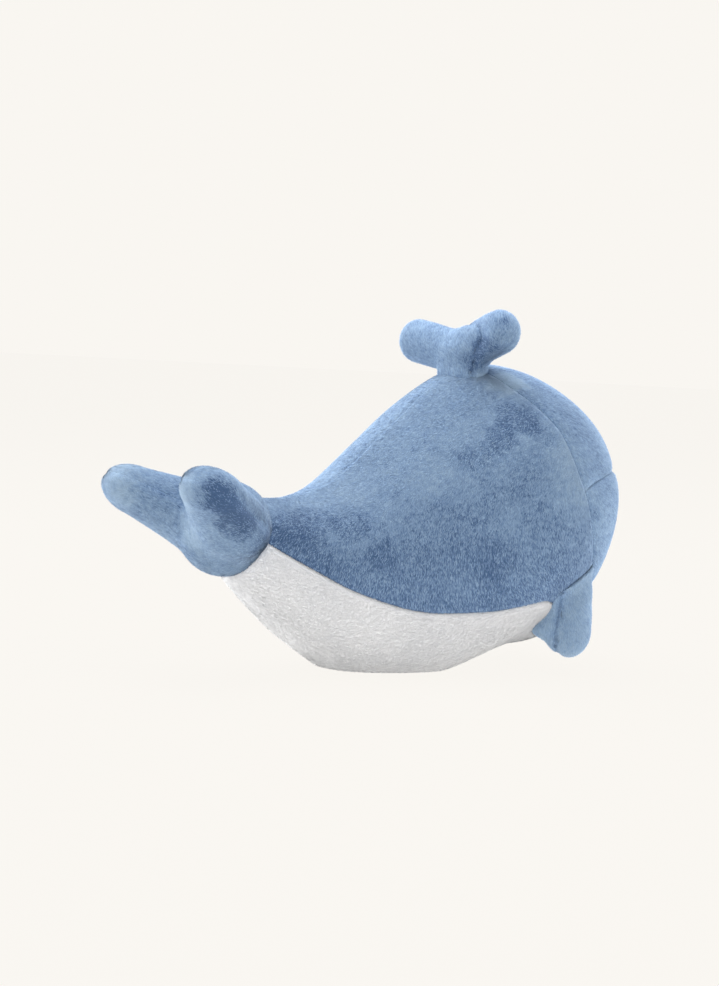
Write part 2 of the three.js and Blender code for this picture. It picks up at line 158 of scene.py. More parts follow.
def node(tree, kind, links=(), **settings):
    made = tree.nodes.new(kind)
    for key, value in settings.items():
        setattr(made, key, value)
    feed(tree, made, links)
    return made


def maths(tree, operation, *values):
    return node(tree, "ShaderNodeMath", dict(enumerate(values)), operation=operation).outputs[0]


def vectors(tree, operation, *values):
    return node(tree, "ShaderNodeVectorMath", dict(enumerate(values)), operation=operation).outputs[0]


def groupWith(name, treeKind, inputs, output, outputKind):
    # a group, its inputs by name, each with a kind and a first value or None, and its one output
    group = bpy.data.node_groups.new(name, treeKind)
    for label, (kind, value) in inputs.items():
        socket = group.interface.new_socket(label, in_out="INPUT", socket_type="NodeSocket" + kind)
        if value is not None:
            socket.default_value = value
    group.interface.new_socket(output, in_out="OUTPUT", socket_type="NodeSocket" + outputKind)
    return group, node(group, "NodeGroupInput").outputs, node(group, "NodeGroupOutput")


def noiseIn(tree, scale, detail):
    place = node(tree, "ShaderNodeTexCoord").outputs["Object"]
    links = {"Vector": place, "Scale": scale, "Detail": detail}
    return node(tree, "ShaderNodeTexNoise", links).outputs["Fac"], place


# Shared texture groups

clothLook = {
    "roughness": 0.92,
    "specular": 0.15,
    "sheenRoughness": 0.6,
    "patchEdge": (1.15, 0.35),  # where a patch begins and is whole, in its own sizes
    "patchRagged": 1.6,
    "patchScale": 90.0,
    "loosened": 1.3,  # how much more the strands differ where the shade is darker, from nap and painted shade alike
    "leastDepth": 0.15,
    "weaveScale": 900.0,
    "weaveStrength": 0.6,
    "weaveHeight": 0.0006,
}
speckle = {"roughest": 1.15, "smoothest": 0.85, "bumpStrength": 0.5}


def buildNapGroup():
    # how the pile has been brushed: a shade from 0, dark, to 1, light
    inputs = {
        "Brush Size": ("Float", 0.03),
        "Brush Depth": ("Float", 0.5),
        "Tuft Size": ("Float", 0.003),
        "Tuft Depth": ("Float", 0.4),
    }
    group, given, out = groupWith("brushedNap", "ShaderNodeTree", inputs, "Shade", "Float")
    total = 0.5
    for label, detail in (("Brush", 3), ("Tuft", 2)):
        noise, _ = noiseIn(group, maths(group, "DIVIDE", 1.0, given[label + " Size"]), detail)
        centred = maths(group, "SUBTRACT", noise, 0.5)
        total = maths(group, "MULTIPLY_ADD", centred, given[label + " Depth"], total)
    clamped = node(group, "ShaderNodeClamp", {"Value": total})
    group.links.new(clamped.outputs[0], out.inputs["Shade"])
    return group


def buildNapAndLightPatchGroup():
    # a soft-edged place painted darker, or lighter where its depth is below 0: nap that lies the other
    # way, painted shade and painted light
    inputs = {
        "Place": ("Vector", (0, 0, 0)),
        "Size": ("Vector", (0.02, 0.02, 0.02)),
        "Ragged": ("Float", 0.5),
        "Depth": ("Float", 0.5),
    }
    group, given, out = groupWith("napAndPaintedLightPatch", "ShaderNodeTree", inputs, "Mask", "Float")
    noise, place = noiseIn(group, clothLook["patchScale"], 4)
    sized = vectors(group, "DIVIDE", vectors(group, "SUBTRACT", place, given["Place"]), given["Size"])
    length = node(group, "ShaderNodeVectorMath", {0: sized}, operation="LENGTH").outputs["Value"]
    centred = maths(group, "SUBTRACT", noise, 0.5)
    edge = maths(group, "MULTIPLY_ADD", centred, given["Ragged"], length)
    begin, whole = clothLook["patchEdge"]
    edges = {"Value": edge, "From Min": begin, "From Max": whole, "To Min": 0.0, "To Max": 1.0}
    soft = node(group, "ShaderNodeMapRange", edges, interpolation_type="SMOOTHSTEP").outputs[0]
    group.links.new(maths(group, "MULTIPLY", soft, given["Depth"]), out.inputs["Mask"])
    return group


napGroup = buildNapGroup()
napAndLightPatchGroup = buildNapAndLightPatchGroup()


# Materials

bluePile = {
    "dark": (0.068, 0.132, 0.272, 1),
    "middle": (0.216, 0.340, 0.538, 1),
    "light": (0.358, 0.500, 0.675, 1),
    # the strands are painted darker towards their roots, down to this share, and the bare cloth too:
    # painted shade deep in the pile
    "root": 0.72,
    "brushSize": 0.03,
    "brushDepth": 0.7,
    "tuftDepth": 0.65,
    "strandDepth": 0.75,
    "sheen": 0.16,
    "sheenTint": (0.85, 0.92, 1, 1),
    "napAndPaintedLightPatches": [
        # place, size and depth of each patch painted darker, lighter below 0: nap that lies the other
        # way, painted shade and painted light, as marked
        # darker on the right side: partly nap that lies the other way, partly painted shade where the
        # side turns from the light
        ((0.0462, -0.0504, 0.1360), (0.013, 0.017, 0.014), 0.40),
        ((0.0323, -0.0508, 0.1252), (0.012, 0.012, 0.010), 0.30),
        ((0.0520, -0.0610, 0.1280), (0.011, 0.012, 0.010), 0.22),
        ((0.042, -0.066, 0.111), (0.013, 0.014, 0.020), 0.12),
        ((0.0146, -0.0474, 0.1154), (0.011, 0.011, 0.009), 0.24),
        ((-0.003, -0.050, 0.091), (0.014, 0.013, 0.009), 0.10),
        # painted light on the cheek
        ((0.071, -0.073, 0.106), (0.020, 0.020, 0.026), -0.18),
        # darker lower on the side and towards the tail: partly nap, partly painted shade
        ((-0.064, -0.021, 0.085), (0.014, 0.010, 0.008), 0.25),
        ((-0.050, -0.032, 0.079), (0.020, 0.014, 0.011), 0.34),
        ((-0.038, -0.043, 0.066), (0.014, 0.012, 0.009), 0.28),
        ((0.019, -0.062, 0.063), (0.018, 0.013, 0.012), 0.20),
        ((-0.080, -0.024, 0.077), (0.026, 0.014, 0.014), 0.30),
        ((-0.108, -0.035, 0.070), (0.012, 0.012, 0.011), 0.34),
        # painted shade in the near fluke's hollow middle
        ((-0.146, -0.048, 0.095), (0.012, 0.013, 0.012), 0.80),
        ((-0.138, -0.047, 0.087), (0.011, 0.012, 0.010), 0.65),
        ((-0.130, -0.044, 0.081), (0.011, 0.012, 0.010), 0.55),
        # painted light on the near fluke's outer rim
        ((-0.156, -0.032, 0.099), (0.007, 0.012, 0.014), -0.32),
        ((-0.151, -0.022, 0.088), (0.007, 0.010, 0.012), -0.32),
        # painted light on the crown under the spout, against the spout's cast shadow
        ((0.0555, -0.0250, 0.1550), (0.016, 0.018, 0.010), -0.60),
        # painted light on the far fluke's end
        ((-0.1515, 0.033, 0.096), (0.016, 0.016, 0.016), -0.35),
        # painted light at the notch between the flukes
        ((-0.131, -0.004, 0.075), (0.010, 0.012, 0.014), -0.35),
        # darker on the spout's right lobe: partly nap, partly painted shade
        ((0.0425, -0.0260, 0.1735), (0.011, 0.010, 0.008), 0.35),
        ((0.0445, -0.0175, 0.1655), (0.011, 0.010, 0.007), 0.35),
        # painted shade at the tip of the spout's right lobe, where its seam starts
        ((0.0445, -0.0366, 0.1871), (0.004, 0.004, 0.004), 0.45),
    ],
}
whitePile = {
    "dark": (0.62, 0.64, 0.68, 1),
    "middle": (0.79, 0.805, 0.835, 1),
    "light": (0.89, 0.895, 0.915, 1),
    # the strands painted darker towards their roots, and the bare cloth too: painted shade deep in the
    # pile
    "root": 0.82,
    "brushSize": 0.026,
    "brushDepth": 0.6,
    "tuftDepth": 0.5,
    "strandDepth": 0.4,
    "sheen": 0.2,
    "sheenTint": (1, 1, 1, 1),
    "napAndPaintedLightPatches": [],
}


def newMaterial(name):
    material = bpy.data.materials.new(name)
    material.use_nodes = True
    return material, material.node_tree, material.node_tree.nodes["Principled BSDF"]


def attributeOf(tree, name):
    return node(tree, "ShaderNodeAttribute", attribute_name=name).outputs["Fac"]


def rampOf(tree, shade, dark, light):
    ramp = node(tree, "ShaderNodeValToRGB", {"Fac": shade})
    ramp.color_ramp.elements[0].color = dark
    ramp.color_ramp.elements[1].color = light
    return ramp


def bumpFrom(tree, shader, height, strength, distance):
    links = {"Height": height, "Strength": strength, "Distance": distance}
    bump = node(tree, "ShaderNodeBump", links)
    tree.links.new(bump.outputs["Normal"], shader.inputs["Normal"])


def napAndPaintedShade(tree, look):
    # how light the brushed pile is painted at each place, with each piece's painted light and shade
    # and the patches
    links = {
        "Brush Size": look["brushSize"],
        "Brush Depth": look["brushDepth"],
        "Tuft Depth": look["tuftDepth"],
    }
    nap = node(tree, "ShaderNodeGroup", links, node_tree=napGroup)
    shade = maths(tree, "ADD", nap.outputs["Shade"], attributeOf(tree, "napAndPaintedShade"))
    for place, size, depth in look["napAndPaintedLightPatches"]:
        links = {"Place": place, "Size": size, "Ragged": clothLook["patchRagged"], "Depth": depth}
        patch = node(tree, "ShaderNodeGroup", links, node_tree=napAndLightPatchGroup)
        shade = maths(tree, "SUBTRACT", shade, patch.outputs["Mask"])
    return shade


def pileMaterial(name, look, onStrands):
    material, tree, shader = newMaterial(name)
    links = {
        "Roughness": clothLook["roughness"],
        "Specular IOR Level": clothLook["specular"],
        "Sheen Weight": look["sheen"],
        "Sheen Roughness": clothLook["sheenRoughness"],
        "Sheen Tint": look["sheenTint"],
    }
    feed(tree, shader, links)
    shade = napAndPaintedShade(tree, look)
    tip = 0.0
    if onStrands:
        centred = maths(tree, "SUBTRACT", attributeOf(tree, "strandShade"), 0.5)
        # the darker the shade, from nap and painted shade alike, the more the strands differ
        most = look["strandDepth"] + clothLook["loosened"] / 2
        looseness = maths(tree, "MULTIPLY_ADD", shade, -clothLook["loosened"], most)
        least = maths(tree, "MAXIMUM", looseness, clothLook["leastDepth"])
        shade = maths(tree, "MULTIPLY_ADD", centred, least, shade)
        tip = attributeOf(tree, "pileTip")
    ramp = rampOf(tree, shade, look["dark"], look["light"])
    ramp.color_ramp.elements.new(0.5).color = look["middle"]
    # painted shade deep in the pile: strands darker towards their roots, the bare cloth darkest
    depth = node(tree, "ShaderNodeMapRange", {"Value": tip, "To Min": look["root"], "To Max": 1.0})
    links = {0: ramp.outputs["Color"], "Scale": depth.outputs[0]}
    shaded = node(tree, "ShaderNodeVectorMath", links, operation="SCALE")
    tree.links.new(shaded.outputs[0], shader.inputs["Base Color"])
    if not onStrands:
        weave, _ = noiseIn(tree, clothLook["weaveScale"], 3)
        bumpFrom(tree, shader, weave, clothLook["weaveStrength"], clothLook["weaveHeight"])
    return material


def speckledMaterial(name, colour, darker, scale, roughness, bumpHeight):
    # a plain finish with fine mottling in its colour, its roughness and its surface
    material, tree, shader = newMaterial(name)
    noise, _ = noiseIn(tree, scale, 4)
    ramp = rampOf(tree, noise, darker, colour)
    ends = roughness * speckle["smoothest"], roughness * speckle["roughest"]
    rough = node(tree, "ShaderNodeMapRange", {"Value": noise, "To Min": ends[0], "To Max": ends[1]})
    feed(tree, shader, {"Base Color": ramp.outputs["Color"], "Roughness": rough.outputs[0]})
    bumpFrom(tree, shader, noise, speckle["bumpStrength"], bumpHeight)
    return material


blueCloth = pileMaterial("blueCloth", bluePile, False)
blueStrands = pileMaterial("blueStrands", bluePile, True)
whiteCloth = pileMaterial("whiteCloth", whitePile, False)
whiteStrands = pileMaterial("whiteStrands", whitePile, True)
fibre = speckledMaterial("fibre", (0.93, 0.92, 0.89, 1), (0.8, 0.79, 0.76, 1), 260, 0.95, 0.002)
pelletCloth = speckledMaterial(
    "pelletCloth", (0.82, 0.78, 0.68, 1), (0.6, 0.56, 0.47, 1), 380, 0.9, 0.0012
)
washerPlastic = speckledMaterial(
    "washerPlastic", (0.83, 0.83, 0.8, 1), (0.75, 0.75, 0.72, 1), 500, 0.45, 0.0001
)
eyePlastic = speckledMaterial(
    "eyePlastic", (0.012, 0.012, 0.014, 1), (0.006, 0.006, 0.007, 1), 220, 0.09, 0.00002
)
eyePlastic.node_tree.nodes["Principled BSDF"].inputs["Coat Weight"].default_value = 0.6
print("materials made")


# Pile

pile = {
    "perSquareMetre": 3.4e6,
    "whiteShare": 0.75,
    "quickShare": 0.6,
    "strandTriangles": 4,
    "mostTriangles": 190000,  # in one piece
    "length": 0.0018,
    "lengthSpread": (0.7, 1.2),
    "width": 0.00045,
    "footRadius": 0.58,  # of a strand, against its width
    "thickness": 0.45,  # of a strand, against its width
    "rise": 0.4,  # how steeply it stands, against how far it leans
    "softness": 0.85,  # how far its light follows the cloth and not the strand
    "spread": 0.5,
    "swirl": 0.7,
    "swirlSize": 0.02,
    "shadeSeed": 7,
    "aboveFloor": 0.0004,
}


def buildPileTree():
    inputs = {
        "Cloth": ("Geometry", None),
        "Density": ("Float", None),
        "Length": ("Float", pile["length"]),
        "Width": ("Float", pile["width"]),
        "Rise": ("Float", pile["rise"]),
        "Spread": ("Float", pile["spread"]),
        "Swirl": ("Float", pile["swirl"]),
        "Seed": ("Int", None),
        "Finish": ("Material", None),
    }
    tree, given, out = groupWith("sewnPile", "GeometryNodeTree", inputs, "Pile", "Geometry")

    def read(name, kind):
        return node(tree, "GeometryNodeInputNamedAttribute", {"Name": name}, data_type=kind).outputs[0]

    def store(geometry, name, value, **settings):
        links = {"Geometry": geometry, "Name": name, "Value": value}
        return node(tree, "GeometryNodeStoreNamedAttribute", links, **settings).outputs[0]

    def chance(kind, links):
        return node(tree, "FunctionNodeRandomValue", links, data_type=kind).outputs

    share = read("pileShare", "FLOAT")
    density = maths(tree, "MULTIPLY", share, given["Density"])
    links = {"Mesh": given["Cloth"], "Density": density, "Seed": given["Seed"]}
    scatter = node(tree, "GeometryNodeDistributePointsOnFaces", links).outputs
    up = scatter["Normal"]
    points = store(scatter["Points"], "clothNormal", up, data_type="FLOAT_VECTOR")

    # along the nap, with some spread and swirl, flat on the cloth and then rising from it
    spread = chance("FLOAT_VECTOR", {0: (-1, -1, -1), 1: (1, 1, 1)})[0]
    way = vectors(tree, "MULTIPLY_ADD", spread, given["Spread"], read("nap", "FLOAT_VECTOR"))
    noise = node(tree, "ShaderNodeTexNoise", {"Scale": 1 / pile["swirlSize"], "Detail": 1.0})
    centred = vectors(tree, "SUBTRACT", noise.outputs["Color"], (0.5, 0.5, 0.5))
    way = vectors(tree, "MULTIPLY_ADD", centred, given["Swirl"], way)
    way = vectors(tree, "SUBTRACT", way, vectors(tree, "PROJECT", way, up))
    along = vectors(tree, "MULTIPLY_ADD", up, given["Rise"], vectors(tree, "NORMALIZE", way))
    axes = {"Primary Axis": along, "Secondary Axis": up}
    turn = node(tree, "FunctionNodeAxesToRotation", axes, primary_axis="Z", secondary_axis="X")

    cone = {
        "Vertices": 3,
        "Side Segments": 1,
        "Radius Top": 0.0,
        "Radius Bottom": pile["footRadius"],
        "Depth": given["Length"],
    }
    strand = node(tree, "GeometryNodeMeshCone", cone, fill_type="NGON").outputs["Mesh"]
    position = node(tree, "GeometryNodeInputPosition").outputs[0]
    height = node(tree, "ShaderNodeSeparateXYZ", {0: position}).outputs["Z"]
    marked = store(strand, "pileTip", maths(tree, "DIVIDE", height, given["Length"]))
    smooth = node(tree, "GeometryNodeSetShadeSmooth", {"Geometry": marked})
    shortest, longest = pile["lengthSpread"]
    taller = chance("FLOAT", {2: shortest, 3: longest})[1]
    size = {
        "X": maths(tree, "MULTIPLY", given["Width"], pile["thickness"]),
        "Y": given["Width"],
        "Z": maths(tree, "MULTIPLY", taller, share),
    }
    placed = {
        "Points": points,
        "Instance": smooth.outputs[0],
        "Rotation": turn.outputs[0],
        "Scale": node(tree, "ShaderNodeCombineXYZ", size).outputs[0],
    }
    strands = node(tree, "GeometryNodeInstanceOnPoints", placed).outputs[0]
    luck = chance("FLOAT", {"Seed": pile["shadeSeed"]})[1]
    shaded = store(strands, "strandShade", luck, domain="INSTANCE")
    real = node(tree, "GeometryNodeRealizeInstances", {"Geometry": shaded}).outputs[0]
    links = {"Geometry": real, "Material": given["Finish"]}
    tree.links.new(node(tree, "GeometryNodeSetMaterial", links).outputs[0], out.inputs[0])
    return tree


pileTree = buildPileTree()


def clothBand(cloth, band, bands):
    # a share of a piece of cloth, from its first faces to its last
    mesh = cloth.data.copy()
    share = np.cumsum([face.area for face in mesh.polygons])
    number = np.minimum((share / share[-1] * bands).astype(int), bands - 1)
    built = builtFrom(mesh)
    others = [face for face in built.faces if number[face.index] != band]
    bmesh.ops.delete(built, geom=others, context="FACES")
    return meshFrom(built, mesh)


def growPile(cloth, name, finish, seed):
    # strands over a piece of cloth, as plain meshes of their own
    density = pile["perSquareMetre"] * 1
    density *= pile["whiteShare"] if finish == whiteStrands else 1
    area = sum(face.area for face in cloth.data.polygons)
    bands = math.ceil(area * density * pile["strandTriangles"] / pile["mostTriangles"])
    return [
        growBand(clothBand(cloth, band, bands), f"{name}_{band + 1}", finish, seed + band, density)
        for band in range(bands)
    ]


def growBand(mesh, name, finish, seed, density):
    obj = addObject(name, mesh)
    modifier = obj.modifiers.new("pile", "NODES")
    modifier.node_group = pileTree
    sockets = {item.name: item.identifier for item in pileTree.interface.items_tree}
    modifier[sockets["Seed"]] = seed
    modifier[sockets["Finish"]] = finish
    modifier[sockets["Density"]] = density
    applied(obj)
    points = coordinates(obj.data)
    points[:, 2] = np.maximum(points[:, 2], pile["aboveFloor"])
    setCoordinates(obj.data, points)
    facing = obj.data.attributes["clothNormal"]
    soft = vectorsIn(facing.data, "vector") * pile["softness"]
    soft += normals(obj.data) * (1 - pile["softness"])
    obj.data.attributes.remove(facing)
    obj.data.normals_split_custom_set_from_vertices(unit(soft).tolist())
    return obj


# Body

body = {
    "height": 0.1635,
    "width": 0.153,
    "noseReach": 0.075,
    "tailReach": 0.170,
    "headPlace": 0.065,
    "topPlaceShares": [0.9, 0.753, 0.588, 0.388, 0.188, 0],
    "topHeightShares": [0.572, 0.575, 0.636, 0.798, 0.945, 1],
    "bottomPlaceShares": [1, 0.882, 0.718, 0.5, 0.265, 0],
    "bottomHeightShares": [0.312, 0.214, 0.092, -0.014, -0.012, 0.076],
    "halfWidthShares": [0.314, 0.425, 0.56, 0.686, 0.856, 1],
    "waistShare": 0.54,
    "ridgePower": 0.5,
    "flatPower": 0.3,
    "aheadShare": 0.45,
    "bellySeamTurn": 97.6,
    "bellySeamDrop": 33.4,
    "gussetSeamShares": (0.93, 0.06, 0.49),
    "chinShare": 0.07,
    "archShare": 0.08,
    "archPower": 8,
    "archStep": 5 / 8,
    "settle": 0.001,
    "settleRound": 0.0005,
    "pileDepth": 0.0009,  # cloth under the pile's face
    "clothThickness": 0.0012,
    "puffWidth": 0.012,
    "lumps": 0.0007,
    "lumpSize": 0.03,
    "lumpSeed": 3,
    "step": 0.0017,  # of the panels' meshes
    "middle": (0.045, 0, 0.089925),  # a place well inside
}
seams = {
    "depth": 0.0014,
    "width": 0.0012,
    "valley": 0.0008,
    "valleyWidth": 0.008,
    "pucker": 0.4,
    "puckerSize": 0.006,
    "bodySeed": 5,
    "limbSeed": 8,
    "pileShare": 0.5,
    "pileWidth": 0.0022,
    # how wide the painted shade along a limb's rim seam is
    "lineWidth": 0.0016,
    "faintest": 0.3,  # the least strength that counts for the pile
    # how near the top of the back its seams fade out, and how far off they then count as
    "crownQuiet": 0.03,
    "crownLift": 0.003,
}


def splineAt(points, share):
    # a Catmull-Rom curve through evenly timed points
    points = np.asarray(points, float)
    last = len(points) - 1
    place = np.clip(share, 0, 1) * last
    step = np.minimum(np.floor(place).astype(int), last - 1)
    rest = (place - step)[..., None]
    before, here, there, after = (points[np.clip(step + k, 0, last)] for k in (-1, 0, 1, 2))
    leave, arrive = (there - before) / 2, (after - here) / 2
    cube = 2 * here - 2 * there + leave + arrive
    curve = -3 * here + 3 * there - 2 * leave - arrive
    return cube * rest**3 + curve * rest**2 + leave * rest + here


crown = np.array([0.0, body["height"]])
throat = np.array([0.0, body["height"] * body["bottomHeightShares"][-1]])
nose = throat + (crown - throat) * body["waistShare"]
aheadNarrow = math.sqrt(1 - body["aheadShare"] ** 2)


def sideProfile(places, heights, edge):
    line = [
        (-body["tailReach"] * place, body["height"] * height)
        for place, height in zip(body[places], body[heights])
    ]
    ahead = nose + (edge - nose) * aheadNarrow
    return [*line, (ahead[0] + body["noseReach"] * body["aheadShare"], ahead[1])]


topLine = sideProfile("topPlaceShares", "topHeightShares", crown)
bottomLine = sideProfile("bottomPlaceShares", "bottomHeightShares", throat)
widths = [[share * body["width"] / 2] for share in (*body["halfWidthShares"], aheadNarrow)]
curveShare = (len(widths) - 2) / (len(widths) - 1)


def bodyPoint(along, around, inset=0.0):
    # along: 0 at the tail seam, 1 at the widest section of the head, 2 at the nose
    # around: 0 on the back, positive towards the left side
    along, around = np.broadcast_arrays(np.asarray(along, float), np.asarray(around, float))
    station = np.minimum(along, 1) * curveShare
    top, bottom = splineAt(topLine, station), splineAt(bottomLine, station)
    middle = bottom + (top - bottom) * body["waistShare"]
    turn = np.maximum(along - 1, 0) * math.pi / 2
    upright = np.cos(around)
    reach = np.where((upright >= 0)[..., None], top, bottom) - middle
    length = np.linalg.norm(reach, axis=-1)
    reach = reach * ((length - inset) / length * np.abs(upright) * np.cos(turn))[..., None]
    ridge = body["ridgePower"] * np.maximum(1 - along, 0) * np.maximum(upright, 0)
    flat = body["flatPower"] * np.sin(along * math.pi / 2) * np.maximum(-upright, 0)
    side = np.sin(around)
    out = np.sign(side) * np.abs(side) ** (1 + ridge - flat)
    half = splineAt(widths, station)[..., 0] - inset
    raw = middle[..., 1] + reach[..., 1] - inset - body["settle"]
    height = (raw + np.hypot(raw, body["settleRound"])) / 2 + inset
    place = body["headPlace"] + middle[..., 0] + (body["noseReach"] - inset) * np.sin(turn)
    return np.stack([place + reach[..., 0], half * np.cos(turn) * out, height], axis=-1)


def frontPoint(up, left):
    return bodyPoint(2 - np.hypot(up, left), np.arctan2(left, up))


def bellySeam(along):
    return np.radians(body["bellySeamTurn"]) + np.radians(body["bellySeamDrop"]) * along


def gussetSeam(share):
    atCrown, rise, sweep = body["gussetSeamShares"]
    return atCrown + rise * share + sweep * share**3


def chinSeam(share):
    return gussetSeam(1) + body["chinShare"] * (1 - share**2)


def onFront(along, around):
    return np.stack([(2 - along) * np.cos(around), (2 - along) * np.sin(around)], axis=-1)


def seamOnFront(share):
    along = gussetSeam(share)
    return onFront(along, share * bellySeam(along))


archEnd = seamOnFront(np.array(body["archStep"]))


def archOnFront(share):
    rise = body["archShare"] * (1 - np.abs(share) ** body["archPower"])
    return np.stack([archEnd[0] + rise, archEnd[1] * share], axis=-1)


def chinOnFront(share):
    along = chinSeam(share)
    return onFront(along, math.pi - share * (math.pi - bellySeam(along)))


def sidePanel(side):
    def pointAt(row, column):
        along = row * gussetSeam(column)
        return bodyPoint(along, side * column * bellySeam(along))

    return pointAt


def bellyPanel(row, column):
    share = 1 - 2 * column
    along = row * chinSeam(share)
    return bodyPoint(along, math.pi - share * (math.pi - bellySeam(along)))


def frontPatch(upper, lower, first, last):
    def pointAt(row, column):
        share = 2 * column - 1
        place = upper(share) + (lower(share) - upper(share)) * row[..., None]
        ends = seamOnFront(np.array(first)), seamOnFront(np.array(last))
        straight = ends[0] + (ends[1] - ends[0]) * row[..., None]
        bow = seamOnFront(first + (last - first) * row) - straight
        place = place + np.stack([bow[..., 0] * share**2, bow[..., 1] * share], axis=-1)
        return frontPoint(place[..., 0], place[..., 1])

    return pointAt


def crownEdge(share):
    return np.broadcast_to(seamOnFront(np.array(0.0)), (*np.shape(share), 2))


def unitGrid(rows, columns):
    return np.meshgrid(np.linspace(0, 1, rows + 1), np.linspace(0, 1, columns + 1), indexing="ij")


def gridFaces(rows, columns):
    corner = np.arange(rows * (columns + 1)).reshape(rows, columns + 1)[:, :-1].ravel()
    return np.stack([corner, corner + 1, corner + columns + 2, corner + columns + 1], axis=-1)


def gridNormals(points):
    crossed = unit(np.cross(np.gradient(points, axis=0), np.gradient(points, axis=1)))
    outward = np.sign(np.sum(crossed * (points - np.array(body["middle"]))))
    return crossed * outward, outward


def spacing(points, axis):
    steps = np.linalg.norm(np.diff(points, axis=axis), axis=-1)
    start = np.insert(np.cumsum(steps, axis=axis), 0, 0, axis=axis)
    total = np.take(start, [-1], axis=axis)
    return start, total - start


def seamDip(points, distance, seed):
    # how far a seam at this distance draws the cloth in
    gathers = 1 + seams["pucker"] * waves(points, seams["puckerSize"], seed)
    groove = seams["depth"] * np.exp(-((distance / seams["width"]) ** 2))
    return groove + seams["valley"] * np.exp(-np.abs(distance) / seams["valleyWidth"]) * gathers


def pileNear(distance):
    # how much of the pile stands at this distance from a seam
    return 1 - (1 - seams["pileShare"]) * np.exp(-((distance / seams["pileWidth"]) ** 2))


def makePanel(name, pointAt, edges, size, napTurns, paintedShades, puff):
    # size: the panel's length and breadth; edges: how strong the seam is at its first and last row
    # and its first and last column; napTurns: the pile's direction at its first and last column,
    # from along the rows to across; paintedShades: how much lighter its colour is painted at its
    # first, middle and last column; puff: how far it swells between its seams
    rows, columns = (round(length / body["step"]) for length in size)
    row, column = unitGrid(rows, columns)
    points = pointAt(row, column)
    outward, facing = gridNormals(points)
    inset = np.full(points.shape[:2], body["pileDepth"])
    inset += body["lumps"] * waves(points, body["lumpSize"], body["lumpSeed"])
    nearest = np.full(points.shape[:2], 1.0)
    fromCrown = np.linalg.norm(points - bodyPoint(gussetSeam(0), 0), axis=-1)
    loud = 1 - np.exp(-((fromCrown / seams["crownQuiet"]) ** 2))
    for distance, strength in zip([*spacing(points, 0), *spacing(points, 1)], edges):
        if strength:
            inset += strength * loud * seamDip(points, distance, seams["bodySeed"])
            heard = distance / max(strength, seams["faintest"]) + seams["crownLift"] * (1 - loud)
            nearest = np.minimum(nearest, heard)
    inset -= puff * (1 - np.exp(-nearest / body["puffWidth"]))
    moved = points - outward * inset[..., None]
    moved[..., 2] = np.maximum(moved[..., 2], body["pileDepth"])
    faces = gridFaces(rows, columns)
    if facing > 0:
        faces = faces[:, ::-1]
    mesh = bpy.data.meshes.new(name)
    mesh.from_pydata(moved.reshape(-1, 3).tolist(), [], faces.tolist())
    mesh.shade_smooth()
    along = unit(np.gradient(points, axis=0))
    across = unit(np.gradient(points, axis=1))
    turn = np.radians(napTurns[0] + (napTurns[1] - napTurns[0]) * column)[..., None]
    setAttribute(mesh, "nap", unit(along * np.cos(turn) + across * np.sin(turn)).reshape(-1, 3))
    setAttribute(mesh, "pileShare", pileNear(nearest).ravel())
    # each panel painted lighter or darker from column to column: on the sides painted light high up
    # and painted shade low towards the belly
    setAttribute(mesh, "napAndPaintedShade", np.interp(column, [0, 0.5, 1], paintedShades).ravel())
    return addObject(name, mesh)


foreheadPatch = frontPatch(crownEdge, archOnFront, 0, body["archStep"])
facePatch = frontPatch(archOnFront, chinOnFront, body["archStep"], 1)
sideCut = (0.4, 0.5, 0.1, 0.8), (0.25, 0.15), (175, 110), (0.1, 0.16, -0.36), 0
foreheadCut = (0, 0.45, 0.5, 0.5), (0.08, 0.14), (0, 0), (0, 0, 0), 0.0008
faceCut = (0.45, 0.9, 0.5, 0.5), (0.06, 0.14), (0, 0), (0, 0, 0), 0.0018
bellyCut = (0.4, 0.9, 0.6, 0.6), (0.27, 0.1), (180, 180), (0, 0, 0), 0.0006
panels = {
    # node: surface, then seams at its edges, length and breadth, nap, its painted shades and puff,
    # finish
    "side_panel_right": (sidePanel(-1), *sideCut, "blue"),
    "side_panel_left": (sidePanel(1), *sideCut, "blue"),
    "forehead_gusset": (foreheadPatch, *foreheadCut, "blue"),
    "face_panel": (facePatch, *faceCut, "blue"),
    "belly_panel": (bellyPanel, *bellyCut, "white"),
}
clothOf = {
    "blue": (blueCloth, blueStrands, "blue_pile"),
    "white": (whiteCloth, whiteStrands, "white_pile"),
}


def hold(piece, part, bend):
    # fixes a piece to a body, or, where a bend is given, only bakes its transform into its mesh
    if bend:
        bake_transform(piece)
    else:
        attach(piece, part)


def finishCloth(obj, part, finish, stands, seed, bend=None):
    # gives cloth its pile and its thickness and fixes both to their body, or bakes their transforms
    # where a bend is given
    cloth, strands, slot = clothOf[finish]
    bands = growPile(obj, "pile_" + stands, strands, seed)
    thick = obj.modifiers.new("thickness", "SOLIDIFY")
    thick.thickness = body["clothThickness"]
    thick.offset = -1
    applied(obj)
    obj.data.materials.append(cloth)
    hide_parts(stands)
    for piece in (obj, *bands):
        hold(piece, part, bend)
    counts = [len(band.data.polygons) for band in bands]
    print(obj.name, len(obj.data.polygons), "faces, pile", counts)


for seed, (name, (pointAt, *cut, finish)) in enumerate(panels.items()):
    cloth = makePanel("skin_" + name, pointAt, *cut)
    finishCloth(cloth, "whale_body", finish, name, seed * 10 + 20)
print("body made")


# Limbs

def lobeFrame(root, tip, thick):
    along = unit(tip - root)
    flatWay = square(thick, along)
    return along, flatWay, np.cross(along, flatWay)


